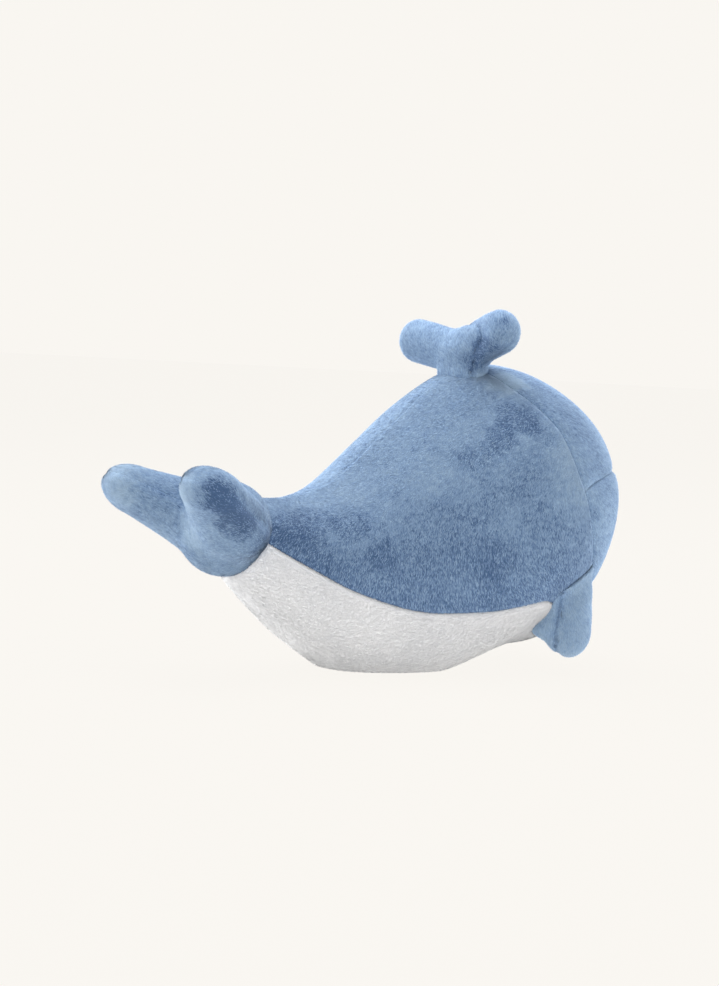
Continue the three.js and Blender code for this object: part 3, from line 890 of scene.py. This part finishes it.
def lobeField(points, size, root, tip, thick):
    # distance to a flattened, tapering lobe with round ends
    along, flatWay, side = lobeFrame(root, tip, thick)
    length = np.linalg.norm(tip - root)
    away = points - root
    y = away @ along
    share = np.clip(y / length, 0, 1)
    flatAtRoot = size["rootThickness"] / 2 / size["rootRadius"]
    flatAtTip = size["tipThickness"] / 2 / size["tipRadius"]
    flat = flatAtRoot + (flatAtTip - flatAtRoot) * share
    r = np.hypot(away @ side, away @ flatWay / flat)
    slope = (size["rootRadius"] - size["tipRadius"]) / length
    wide = math.sqrt(1 - slope**2)
    k = wide * y - slope * r
    straight = r * wide + y * slope - size["rootRadius"]
    return np.where(
        k < 0,
        np.hypot(r, y) - size["rootRadius"],
        np.where(k > wide * length, np.hypot(r, y - length) - size["tipRadius"], straight),
    )


def softJoin(first, second, round):
    h = np.clip(0.5 + 0.5 * (second - first) / round, 0, 1)
    return second + (first - second) * h - round * h * (1 - h)


def softCut(first, second, round):
    return -softJoin(-first, -second, round)


def lobeBalls(size, root, tip, thick):
    # overlapping balls that fill a lobe, for its first mesh
    along, flatWay, side = lobeFrame(root, tip, thick)
    balls = []
    for share in np.linspace(0, 1, limbMesh["balls"]):
        radius = size["rootRadius"] + (size["tipRadius"] - size["rootRadius"]) * share
        depth = (size["rootThickness"] + (size["tipThickness"] - size["rootThickness"]) * share) / 2
        place = root + (tip - root) * share
        balls.append((place, np.stack([side * radius, along * radius, flatWay * depth], axis=1)))
    return balls


limbMesh = {
    "balls": 9,  # in a lobe
    "ballDetail": 3,
    "voxel": 0.0015,
    "steps": 8,
    "probe": 0.0003,
    "leastSlope": 0.2,
    "mostStep": 0.003,
    "smooth": 2,
    "bare": 0.002,  # cloth deeper than this under the body's surface has no pile
    "fillInset": 0.0022,
    "tuck": 0.0016,
    "rayReach": 0.06,
    "rayDepth": 0.01,
}


def inflate(name, balls, field):
    # a closed mesh of the balls, drawn onto the surface where the field is 0
    built = bmesh.new()
    detail = limbMesh["ballDetail"]
    for place, axes in balls:
        matrix = Matrix.Translation(Vector(place)) @ Matrix(axes.tolist()).to_4x4()
        bmesh.ops.create_icosphere(built, subdivisions=detail, radius=1, matrix=matrix)
    obj = addObject(name, meshFrom(built, name))
    addRemesh(obj, limbMesh["voxel"], limbMesh["smooth"])
    applied(obj)
    points = coordinates(obj.data)
    probes = np.eye(3) * limbMesh["probe"]
    for _ in range(limbMesh["steps"]):
        here = field(points)
        rises = [field(points + probe) - field(points - probe) for probe in probes]
        slope = np.stack(rises, axis=-1) / (2 * limbMesh["probe"])
        change = here / np.maximum(np.sum(slope**2, axis=-1), limbMesh["leastSlope"])
        points -= slope * np.clip(change, -limbMesh["mostStep"], limbMesh["mostStep"])[:, None]
    setCoordinates(obj.data, points)
    obj.data.shade_smooth()
    return obj


def seamInset(points, height, strength):
    return body["pileDepth"] + strength * seamDip(points, height, seams["limbSeed"])


def cutAway(obj, place, facing):
    # takes off what lies beyond a plane, on the side that it faces
    built = builtFrom(obj.data)
    everything = [*built.verts, *built.edges, *built.faces]
    plane = {"plane_co": Vector(place), "plane_no": Vector(facing)}
    bmesh.ops.bisect_plane(built, geom=everything, clear_outer=True, **plane)
    meshFrom(built, obj.data).shade_smooth()


def dropFaces(obj, gone):
    # takes off the faces at these vertices and closes the hole that they leave
    built = builtFrom(obj.data)
    faces = [face for face in built.faces if any(gone[vertex.index] for vertex in face.verts)]
    bmesh.ops.delete(built, geom=faces, context="FACES")
    rims = [edge for edge in built.edges if edge.is_boundary]
    filled = bmesh.ops.holes_fill(built, edges=rims)["faces"]
    bmesh.ops.triangulate(built, faces=filled)
    meshFrom(built, obj.data).shade_smooth()


def splitLimb(whole, place, facing, names):
    # the two sides of a limb, cut along a plane
    halves = []
    for name, side in zip(names, (1, -1)):
        obj = addObject(name, whole.data.copy())
        obj.data.name = name
        cutAway(obj, place, facing * -side)
        halves.append(obj)
    bpy.data.objects.remove(whole)
    return halves


def markLimb(mesh, place, facing, along, paintedShades, hidden):
    points = coordinates(mesh)
    outward = normals(mesh)
    height = (points - place) @ facing
    line = np.exp(-((height / seams["lineWidth"]) ** 2))
    setAttribute(mesh, "nap", unit(along - outward * (outward @ along)[:, None]))
    setAttribute(mesh, "pileShare", np.where(hidden(points), 0.0, pileNear(height)))
    # each limb panel painted lighter as a whole, with painted shade along its rim seam
    setAttribute(mesh, "napAndPaintedShade", paintedShades[0] - paintedShades[1] * line)


def dressLimb(whole, part, stands, settings, plane, along, hidden, bend):
    # makes the two panels of a limb, sewn along its middle plane
    halves = splitLimb(whole, *plane, ["skin_" + name for name in stands])
    for count, (name, cloth) in enumerate(zip(stands, halves)):
        markLimb(cloth.data, *plane, along, settings["paintedShades"], hidden)
        finishCloth(cloth, part, "blue", name, settings["seed"] + count * 10, bend)


flukes = {
    "jointPlace": 0.011,
    "rise": 7.7,
    "land": 0.0006,
    "round": 0.008,
    "seam": 0.18,
    "paintedShades": (0.05, 0.1),  # painted lighter as a whole, then the painted shade along its rim seam
    "seed": 100,
    "bendEnd": 0.006,  # how far past the joint the tail's bend is set to end
    "lobe": {
        "rootRadius": 0.0214,
        "rootThickness": 0.0345,
        "tipRadius": 0.0190,
        "tipThickness": 0.0245,
    },
    # how far along, aside and up the root and the tip of each lobe lie
    "right": ((0.012, -0.0205, -0.002), (0.0375, -0.0335, 0.0008)),
    "left": ((0.012, 0.0195, 0.0005), (0.0342, 0.0355, -0.001)),
}
tailTop, tailBottom = bodyPoint(0, 0), bodyPoint(0, math.pi)
tailMiddle = (tailTop + tailBottom) / 2
tailLine = unit(np.cross(tailTop - tailBottom, toLeft))
flukeJoint = tailMiddle + tailLine * flukes["jointPlace"]
flukeNeck = min(np.linalg.norm(tailTop - tailBottom) / 2, widths[0][0]) - flukes["land"]
flukeLine = turned(tailLine, toLeft, flukes["rise"])
flukeUp = np.cross(toLeft, flukeLine)


def lobesOf(settings, joint, along, across, thick):
    axes = np.stack([along, across, thick])
    return [[joint + np.array(end) @ axes for end in settings[side]] for side in ("right", "left")]


flukeEnds = lobesOf(flukes, flukeJoint, flukeLine, toLeft, flukeUp)


def flukeField(points):
    lobes = [lobeField(points, flukes["lobe"], root, tip, flukeUp) for root, tip in flukeEnds]
    radius = math.hypot(flukeNeck, flukes["jointPlace"])
    ball = np.linalg.norm(points - flukeJoint, axis=-1) - radius
    whole = softJoin(softJoin(*lobes, flukes["round"]), ball, flukes["round"])
    return whole + seamInset(points, (points - flukeJoint) @ flukeUp, flukes["seam"])


def ballAt(place, radius):
    return place, np.eye(3) * radius


def insideTail(points):
    return (points - tailMiddle) @ tailLine < -limbMesh["bare"]


flukeBalls = [ballAt(flukeJoint, flukeNeck)]
for root, tip in flukeEnds:
    flukeBalls += lobeBalls(flukes["lobe"], root, tip, flukeUp)
wholeFlukes = inflate("flukes", flukeBalls, flukeField)
flukePlane = flukeJoint, flukeUp
tailBend = tailMiddle, flukeJoint + flukeLine * flukes["bendEnd"]
flukePanels = ("fluke_top_panel", "fluke_bottom_panel")
dressLimb(wholeFlukes, "tail", flukePanels, flukes, flukePlane, flukeLine, insideTail, tailBend)


spout = {
    "placeShare": 0.9,
    "sink": 0.0025,
    "rollRadius": 0.0105,
    "rollWidth": 0.031,
    "rollRound": 0.003,
    "rollBalls": (-0.006, 0, 0.006),
    "lean": 5,
    "round": 0.006,
    "notchRound": 0.003,
    "seam": 0.9,
    "seamTurn": -19,
    # painted light over the whole spout, then painted shade along its rim seam
    "paintedShades": (0.06, 0.25),
    "seed": 130,
    "bendEnd": 0.013,  # how far up the stem the spout's bend is set to end
    # the last is how far distances to its flattened tube are cut down
    "stem": {"width": 0.031, "thickness": 0.021, "aside": -0.0015, "sink": 0.004, "scale": 0.8},
    "lobe": {
        "rootRadius": 0.0130,
        "rootThickness": 0.0225,
        "tipRadius": 0.0126,
        "tipThickness": 0.0215,
    },
    "right": ((0.0138, -0.0025, 0), (0.0216, -0.0296, 0)),
    "left": ((0.0127, 0.003, 0), (0.0203, 0.0349, 0)),
}
towardTail = np.array([-1.0, 0, 0])
spoutUp = turned(upward, towardTail, spout["lean"])
spoutAcross = turned(toLeft, towardTail, spout["lean"])
spoutFront = np.cross(spoutAcross, spoutUp)
spoutJoint = bodyPoint(spout["placeShare"], 0) - spoutUp * spout["sink"]
spoutPlane = spoutJoint, turned(spoutFront, spoutUp, spout["seamTurn"])
spoutEnds = lobesOf(spout, spoutJoint, spoutUp, spoutAcross, spoutFront)


def spoutField(points):
    lobes = [lobeField(points, spout["lobe"], root, tip, spoutFront) for root, tip in spoutEnds]
    away = points - spoutJoint
    across, front, height = away @ spoutAcross, away @ spoutFront, away @ spoutUp
    straight = spout["rollWidth"] / 2 - spout["rollRadius"]
    overrun = np.maximum(np.abs(across) - straight, 0)
    roll = np.sqrt(overrun**2 + front**2 + height**2) - spout["rollRadius"]
    size = spout["stem"]
    flat = size["thickness"] / size["width"]
    tube = (np.hypot(across - size["aside"], front / flat) - size["width"] / 2) * size["scale"]
    top, foot = spout["right"][0][0], -size["sink"]
    stem = np.maximum(tube, np.abs(height - (top + foot) / 2) - (top - foot) / 2)
    forked = softJoin(softJoin(*lobes, spout["notchRound"]), stem, spout["round"])
    whole = softJoin(forked, roll, spout["rollRound"])
    return whole + seamInset(points, away @ spoutPlane[1], spout["seam"])


def insideCrown(points):
    return (points - spoutJoint) @ spoutUp < -limbMesh["bare"]


spoutBalls = [ballAt(spoutJoint + spoutAcross * s, spout["rollRadius"]) for s in spout["rollBalls"]]
for root, tip in spoutEnds:
    spoutBalls += lobeBalls(spout["lobe"], root, tip, spoutFront)
wholeSpout = inflate("spout", spoutBalls, spoutField)
spoutBend = spoutJoint, spoutJoint + spoutUp * spout["bendEnd"]
spoutPanels = ("spout_front_panel", "spout_back_panel")
dressLimb(wholeSpout, "spout", spoutPanels, spout, spoutPlane, spoutUp, insideCrown, spoutBend)


flippers = {
    "placeShare": 1.145,
    "placeTurn": 124,
    "sink": 0.004,
    "pitch": 13.5,
    "tuck": 15,
    "twist": 18,
    # ends of its root seam on the body, along and around
    "rootRear": (0.975, 129.6),
    "rootFront": (1.26, 117.2),
    "rootRound": 0.004,
    "fillDrop": 0.011,  # how far below the root seam its stuffing starts
    "flush": 0.013,  # how far below the seam it has left the body's surface
    "seat": -0.0007,
    "deep": -0.003,  # under the body's surface no cloth is left below this
    "bare": -0.0018,  # and none below this has pile
    "round": 0.007,
    "seam": 1.1,
    "seamStart": 0.012,  # how far below the root seam its rim seam shows in full
    # painted light over the whole flipper, then painted shade along its rim seam
    "paintedShades": (0.24, 0.35),
    "seed": 160,
    "lobe": {
        "rootRadius": 0.0192,
        "rootThickness": 0.0295,
        "tipRadius": 0.0162,
        "tipThickness": 0.025,
    },
    # how far along, to the rear and out from the joint
    "root": (0, -0.006, -0.007),
    "tip": (0.028, 0.0003, 0.0003),
    "heel": (0.0242, 0.0113, -0.009),
    "heelRadius": 0.0075,
}


def bodySurface():
    # the body's outside as one mesh to measure from
    vertices, corners = [], []
    rows, columns = 80, 60
    for pointAt, *_ in panels.values():
        points = pointAt(*unitGrid(rows, columns))
        _, facing = gridNormals(points)
        faces = gridFaces(rows, columns) + len(vertices)
        corners += (faces[:, ::-1] if facing > 0 else faces).tolist()
        vertices += points.reshape(-1, 3).tolist()
    return BVHTree.FromPolygons(vertices, corners)


surface = bodySurface()


def overSurface(points):
    # each point's nearest place on the body, the way out of it there and the height over it
    near, away = np.empty_like(points), np.empty_like(points)
    for i, point in enumerate(points):
        near[i], away[i] = surface.find_nearest(Vector(point))[:2]
    return near, away, np.sum((points - near) * away, axis=-1)


def underBody(points):
    return overSurface(points)[2] < flippers["bare"]


def makeFlipper(sideName, side):
    mirror = np.array([1, -side, 1])
    pitch, tuck = math.radians(flippers["pitch"]), math.radians(flippers["tuck"])
    line = np.array(
        [math.sin(pitch) * math.cos(tuck), math.sin(tuck), -math.cos(pitch) * math.cos(tuck)]
    )
    out = square(turned(-toLeft, upward, flippers["twist"]), line)
    axes = np.stack([line, np.cross(line, out), out]) * mirror
    line, _, out = axes
    turn = side * math.radians(flippers["placeTurn"])
    joint = bodyPoint(flippers["placeShare"], turn, flippers["sink"])
    root, tip, heel = (joint + np.array(flippers[name]) @ axes for name in ("root", "tip", "heel"))
    ends = [
        bodyPoint(flippers[name][0], side * math.radians(flippers[name][1]))
        for name in ("rootRear", "rootFront")
    ]
    seamUp = square(np.cross(ends[1] - ends[0], out) * side, out)

    def field(points):
        lobe = lobeField(points, flippers["lobe"], root, tip, out)
        bulge = np.linalg.norm(points - heel, axis=-1) - flippers["heelRadius"]
        pad = softJoin(lobe, bulge, flippers["round"])
        below = np.clip((ends[0] - points) @ seamUp / flippers["seamStart"], 0, 1)
        return pad + seamInset(points, (points - joint) @ out, flippers["seam"] * below)

    def closedField(points):
        high = (points - ends[0]) @ seamUp + flippers["fillDrop"]
        return softCut(field(points), high, flippers["rootRound"])

    balls = [*lobeBalls(flippers["lobe"], root, tip, out), ballAt(heel, flippers["heelRadius"])]
    whole = inflate("flipper_" + sideName, balls, field)
    cutAway(whole, ends[0], seamUp)
    dropFaces(whole, overSurface(coordinates(whole.data))[2] < flippers["deep"])
    # from flush with the body at the root seam to its own shape further down
    points = coordinates(whole.data)
    _, away, height = overSurface(points)
    below = np.clip((ends[0] - points) @ seamUp / flippers["flush"], 0, 1)
    swell = below**2 * (3 - 2 * below)
    shallow = np.clip(2 - 2 * height / flippers["deep"], 0, 1)
    seat = flippers["deep"] + (flippers["seat"] - flippers["deep"]) * shallow
    lain = height * swell + seat * (1 - swell)
    setCoordinates(whole.data, points + away * (lain - height)[:, None])
    corners = [list(face.vertices) for face in whole.data.polygons]
    cover = BVHTree.FromPolygons(coordinates(whole.data).tolist(), corners)
    seamMiddle = (ends[0] + ends[1]) / 2
    bend = seamMiddle, seamMiddle + line * flippers["flush"]
    flipperShapes[sideName] = balls, closedField, bend, cover
    stands = [f"flipper_{sideName}_outer_panel", f"flipper_{sideName}_inner_panel"]
    dressLimb(whole, "flipper_" + sideName, stands, flippers, (joint, out), line, underBody, bend)


flipperShapes = {}
makeFlipper("right", -1)
makeFlipper("left", 1)
print("limbs made")


# Fillings

def finishFilling(obj, stands, part, finish, bend=None):
    obj.data.shade_smooth()
    obj.data.materials.clear()
    obj.data.materials.append(finish)
    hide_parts(stands)
    hold(obj, part, bend)


def tuckUnder(mesh, cover):
    # moves a filling's points to lie between the sides of its cloth, over the body
    points = coordinates(mesh)
    near, away, height = overSurface(points)
    moved = near.copy()
    reach, depth, tuck = (limbMesh[name] for name in ("rayReach", "rayDepth", "tuck"))
    for i, (foot, up) in enumerate(zip(near, away)):
        inner = cover.ray_cast(Vector(foot - up * depth), Vector(up), reach)[0]
        outer = cover.ray_cast(Vector(foot + up * reach), Vector(-up), reach + depth)[0]
        if inner is None or outer is None:
            spot, facing = cover.find_nearest(Vector(points[i]))[:2]
            moved[i] = spot - facing * tuck
            continue
        low = max((np.array(inner) - foot) @ up, 0) + tuck
        high = (np.array(outer) - foot) @ up - tuck
        moved[i] += up * (np.clip(height[i], low, high) if low < high else (low + high) / 2)
    setCoordinates(mesh, moved)


def limbFillings(stands, part, balls, field, bend, plane=None, cover=None):
    # a limb's stuffing under its cloth, in one piece or split by a plane
    inset = limbMesh["fillInset"]
    whole = inflate("stuffing_" + part, balls, lambda points: field(points) + inset)
    if cover:
        dropFaces(whole, overSurface(coordinates(whole.data))[2] < 0)
        tuckUnder(whole.data, cover)
    names = ["stuffing_" + name for name in stands]
    if plane:
        pieces = splitLimb(whole, *plane, names)
    else:
        whole.name = names[0]
        pieces = [whole]
    for obj, name in zip(pieces, stands):
        finishFilling(obj, name, part, fibre, bend)


stuffing = {"voxel": 0.003, "inset": 0.0035, "bagVoxel": 0.002, "weld": 1e-5, "smooth": 6}


def softened(nodeName, name, voxel, inset):
    # a smooth copy of a solid that lies inside
    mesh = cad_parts[nodeName].data.copy()
    built = builtFrom(mesh)
    bmesh.ops.remove_doubles(built, verts=built.verts, dist=stuffing["weld"])
    obj = addObject(name, meshFrom(built, mesh))
    addRemesh(obj, voxel, stuffing["smooth"])
    shrink = obj.modifiers.new("shrink", "DISPLACE")
    shrink.strength = -inset
    shrink.mid_level = 0
    return applied(obj)


bodyStuffing = softened("body_fill", "stuffing_body_fill", stuffing["voxel"], stuffing["inset"])
finishFilling(bodyStuffing, "body_fill", "whale_body", fibre)
pelletBag = softened("bean_bag", "pellets_bean_bag", stuffing["bagVoxel"], 0)
finishFilling(pelletBag, "bean_bag", "whale_body", pelletCloth)
flukeFills = ["fluke_fill_left", "fluke_fill_right"]
limbFillings(flukeFills, "tail", flukeBalls, flukeField, tailBend, (flukeJoint, toLeft))
spoutFills = ["spout_fill_left", "spout_fill_right"]
limbFillings(spoutFills, "spout", spoutBalls, spoutField, spoutBend, (spoutJoint, toLeft))
for sideName, (balls, field, bend, cover) in flipperShapes.items():
    flipperFills = [f"flipper_{sideName}_fill"]
    limbFillings(flipperFills, "flipper_" + sideName, balls, field, bend, cover=cover)
print("fillings made")


# Eyes

eye = {
    "radius": 0.0055,
    "height": 0.0036,
    "turnShare": 0.27,
    "dropShare": 0.08,
    "seat": 0.0002,
    "rim": 0.0006,
    "shankRadius": 0.0016,
    "shankLength": 0.008,
    "steps": 48,
    "domeSteps": 12,
}


def makeEye(sideName, side):
    step = body["archShare"] / 2
    turn, drop = side * eye["turnShare"], -eye["dropShare"]
    place = frontPoint(np.array(drop), np.array(turn))
    rise = frontPoint(drop + step, turn) - frontPoint(drop - step, turn)
    across = frontPoint(drop, turn + step) - frontPoint(drop, turn - step)
    out = unit(np.cross(across, rise))
    upright = square(upward, out)
    level = np.cross(upright, out)
    shank, rim = eye["shankRadius"], eye["rim"]
    outline = [(0, -eye["shankLength"]), (shank, -eye["shankLength"]), (shank, 0)]
    outline.append((eye["radius"] - rim, 0))
    for i in range(eye["domeSteps"]):
        angle = math.pi / 2 * i / eye["domeSteps"]
        outline.append((eye["radius"] * math.cos(angle), rim + eye["height"] * math.sin(angle)))
    outline.append((0, rim + eye["height"]))
    # the outline goes round to one ring of points for each of its places, or to a single point
    built = bmesh.new()
    rings = []
    for radius, height in outline:
        centre = place + out * (height + eye["seat"])
        ring = []
        for k in range(eye["steps"] if radius else 1):
            angle = 2 * math.pi * k / eye["steps"]
            spoke = level * math.cos(angle) + upright * math.sin(angle)
            ring.append(built.verts.new(centre + radius * spoke))
        rings.append(ring)
    for low, high in zip(rings, rings[1:]):
        for k in range(eye["steps"]):
            corners = (low, k), (low, k + 1), (high, k + 1), (high, k)
            around = [ring[step % len(ring)] for ring, step in corners]
            built.faces.new(dict.fromkeys(around))
    bmesh.ops.recalc_face_normals(built, faces=built.faces)
    mesh = meshFrom(built, "button_eye_" + sideName)
    mesh.shade_smooth()
    mesh.materials.append(eyePlastic)
    obj = addObject("button_eye_" + sideName, mesh)
    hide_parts("eye_" + sideName)
    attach(obj, "whale_body")
    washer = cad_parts["eye_washer_" + sideName]
    washer.data.materials.clear()
    washer.data.materials.append(washerPlastic)


makeEye("right", -1)
makeEye("left", 1)
print("eyes made")


# Floor, light and camera

photoCamera = {
    "target": (0.0192, 0.0456, 0.0896),
    "azimuth": 40,
    "elevation": 3.5,
    "roll": 3,
    "distance": 1.4,
    "focalPixels": 2545,
    "widthPixels": 719,
    "sensor": 36,
}
studio = {
    "backdrop": (0.947, 0.922, 0.880, 1),
    "bounce": (0.6, 0.585, 0.56, 1),
    "floorRadius": 12,
    "floorSides": 96,
    "floorRoughness": 0.95,
    "floorShade": 0.02,  # how much of the floor's own light and shadow shows
    "floorGlow": 0.88,  # light from the pale table under the whale
    "sky": (1.0, 1.0, 1.02, 1),
    "skyStrength": 0.4,
    "lights": {
        # place to the right of, beyond and above the whale, then size and power
        "topLight": ((-0.3, 0.1, 1.9), 2.6, 84),
        "frontLight": ((0.7, -1.4, 1.3), 1.6, 9),
        "leftLight": ((-1.8, 0.5, 0.2), 1.2, 38),
        "rightLight": ((1.8, 0.5, 0.2), 1.2, 26),
    },
}


def photoAxes():
    # the directions right, away and up as the camera sees them, before its roll
    turn, lift = math.radians(photoCamera["azimuth"]), math.radians(photoCamera["elevation"])
    away = Vector((math.sin(turn) * math.cos(lift), math.cos(turn) * math.cos(lift), -math.sin(lift)))
    right = Vector((math.cos(turn), -math.sin(turn), 0))
    return right, away, right.cross(away)


def seenByCamera(tree, seen, other, output):
    # one shader for what the camera sees and another for the light that it gives
    path = node(tree, "ShaderNodeLightPath")
    mix = node(tree, "ShaderNodeMixShader", {0: path.outputs["Is Camera Ray"], 1: other, 2: seen})
    tree.links.new(mix.outputs[0], output.inputs["Surface"])


def makeFloor():
    built = bmesh.new()
    shape = {"segments": studio["floorSides"], "radius": studio["floorRadius"]}
    bmesh.ops.create_circle(built, cap_ends=True, **shape)
    floor = addObject("floor", meshFrom(built, "floor"))
    material, tree, paper = newMaterial("paper")
    links = {"Base Color": studio["bounce"], "Roughness": studio["floorRoughness"]}
    feed(tree, paper, {**links, "Specular IOR Level": 0})
    bright = node(tree, "ShaderNodeEmission", {"Color": studio["backdrop"]})
    links = {"Color": studio["backdrop"], "Strength": studio["floorGlow"]}
    glow = node(tree, "ShaderNodeEmission", links)
    lit = node(tree, "ShaderNodeAddShader", {0: paper.outputs[0], 1: glow.outputs[0]})
    links = {0: studio["floorShade"], 1: bright.outputs[0], 2: paper.outputs[0]}
    pale = node(tree, "ShaderNodeMixShader", links)
    seenByCamera(tree, pale.outputs[0], lit.outputs[0], tree.nodes["Material Output"])
    floor.data.materials.append(material)


def makeLights():
    right, away, up = photoAxes()
    target = Vector(photoCamera["target"])
    for name, (place, size, power) in studio["lights"].items():
        data = bpy.data.lights.new(name, "AREA")
        data.shape = "DISK"
        data.size = size
        data.energy = power
        light = addObject(name, data)
        toward = right * place[0] + away * place[1] + up * place[2]
        light.location = target + toward
        light.rotation_euler = toward.to_track_quat("Z", "Y").to_euler()


def makeSky():
    world = bpy.data.worlds.new("studioSky")
    world.use_nodes = True
    tree = world.node_tree
    sky = tree.nodes["Background"]
    sky.inputs["Color"].default_value = studio["sky"]
    sky.inputs["Strength"].default_value = studio["skyStrength"]
    seen = node(tree, "ShaderNodeBackground", {"Color": studio["backdrop"]})
    seenByCamera(tree, seen.outputs[0], sky.outputs[0], tree.nodes["World Output"])
    scene.world = world


def makeCamera():
    right, away, up = photoAxes()
    roll = math.radians(photoCamera["roll"])
    tilted = right * math.cos(roll) + up * math.sin(roll)
    data = bpy.data.cameras.new("photoCamera")
    data.sensor_fit = "HORIZONTAL"
    data.sensor_width = photoCamera["sensor"]
    data.lens = photoCamera["focalPixels"] / photoCamera["widthPixels"] * photoCamera["sensor"]
    camera = addObject("photoCamera", data)
    place = Vector(photoCamera["target"]) - away * photoCamera["distance"]
    axes = Matrix((tilted, tilted.cross(away), -away)).transposed()
    camera.matrix_world = Matrix.Translation(place) @ axes.to_4x4()
    scene.camera = camera


makeFloor()
makeLights()
makeSky()
makeCamera()
scene.view_settings.view_transform = "Standard"
print("studio made")
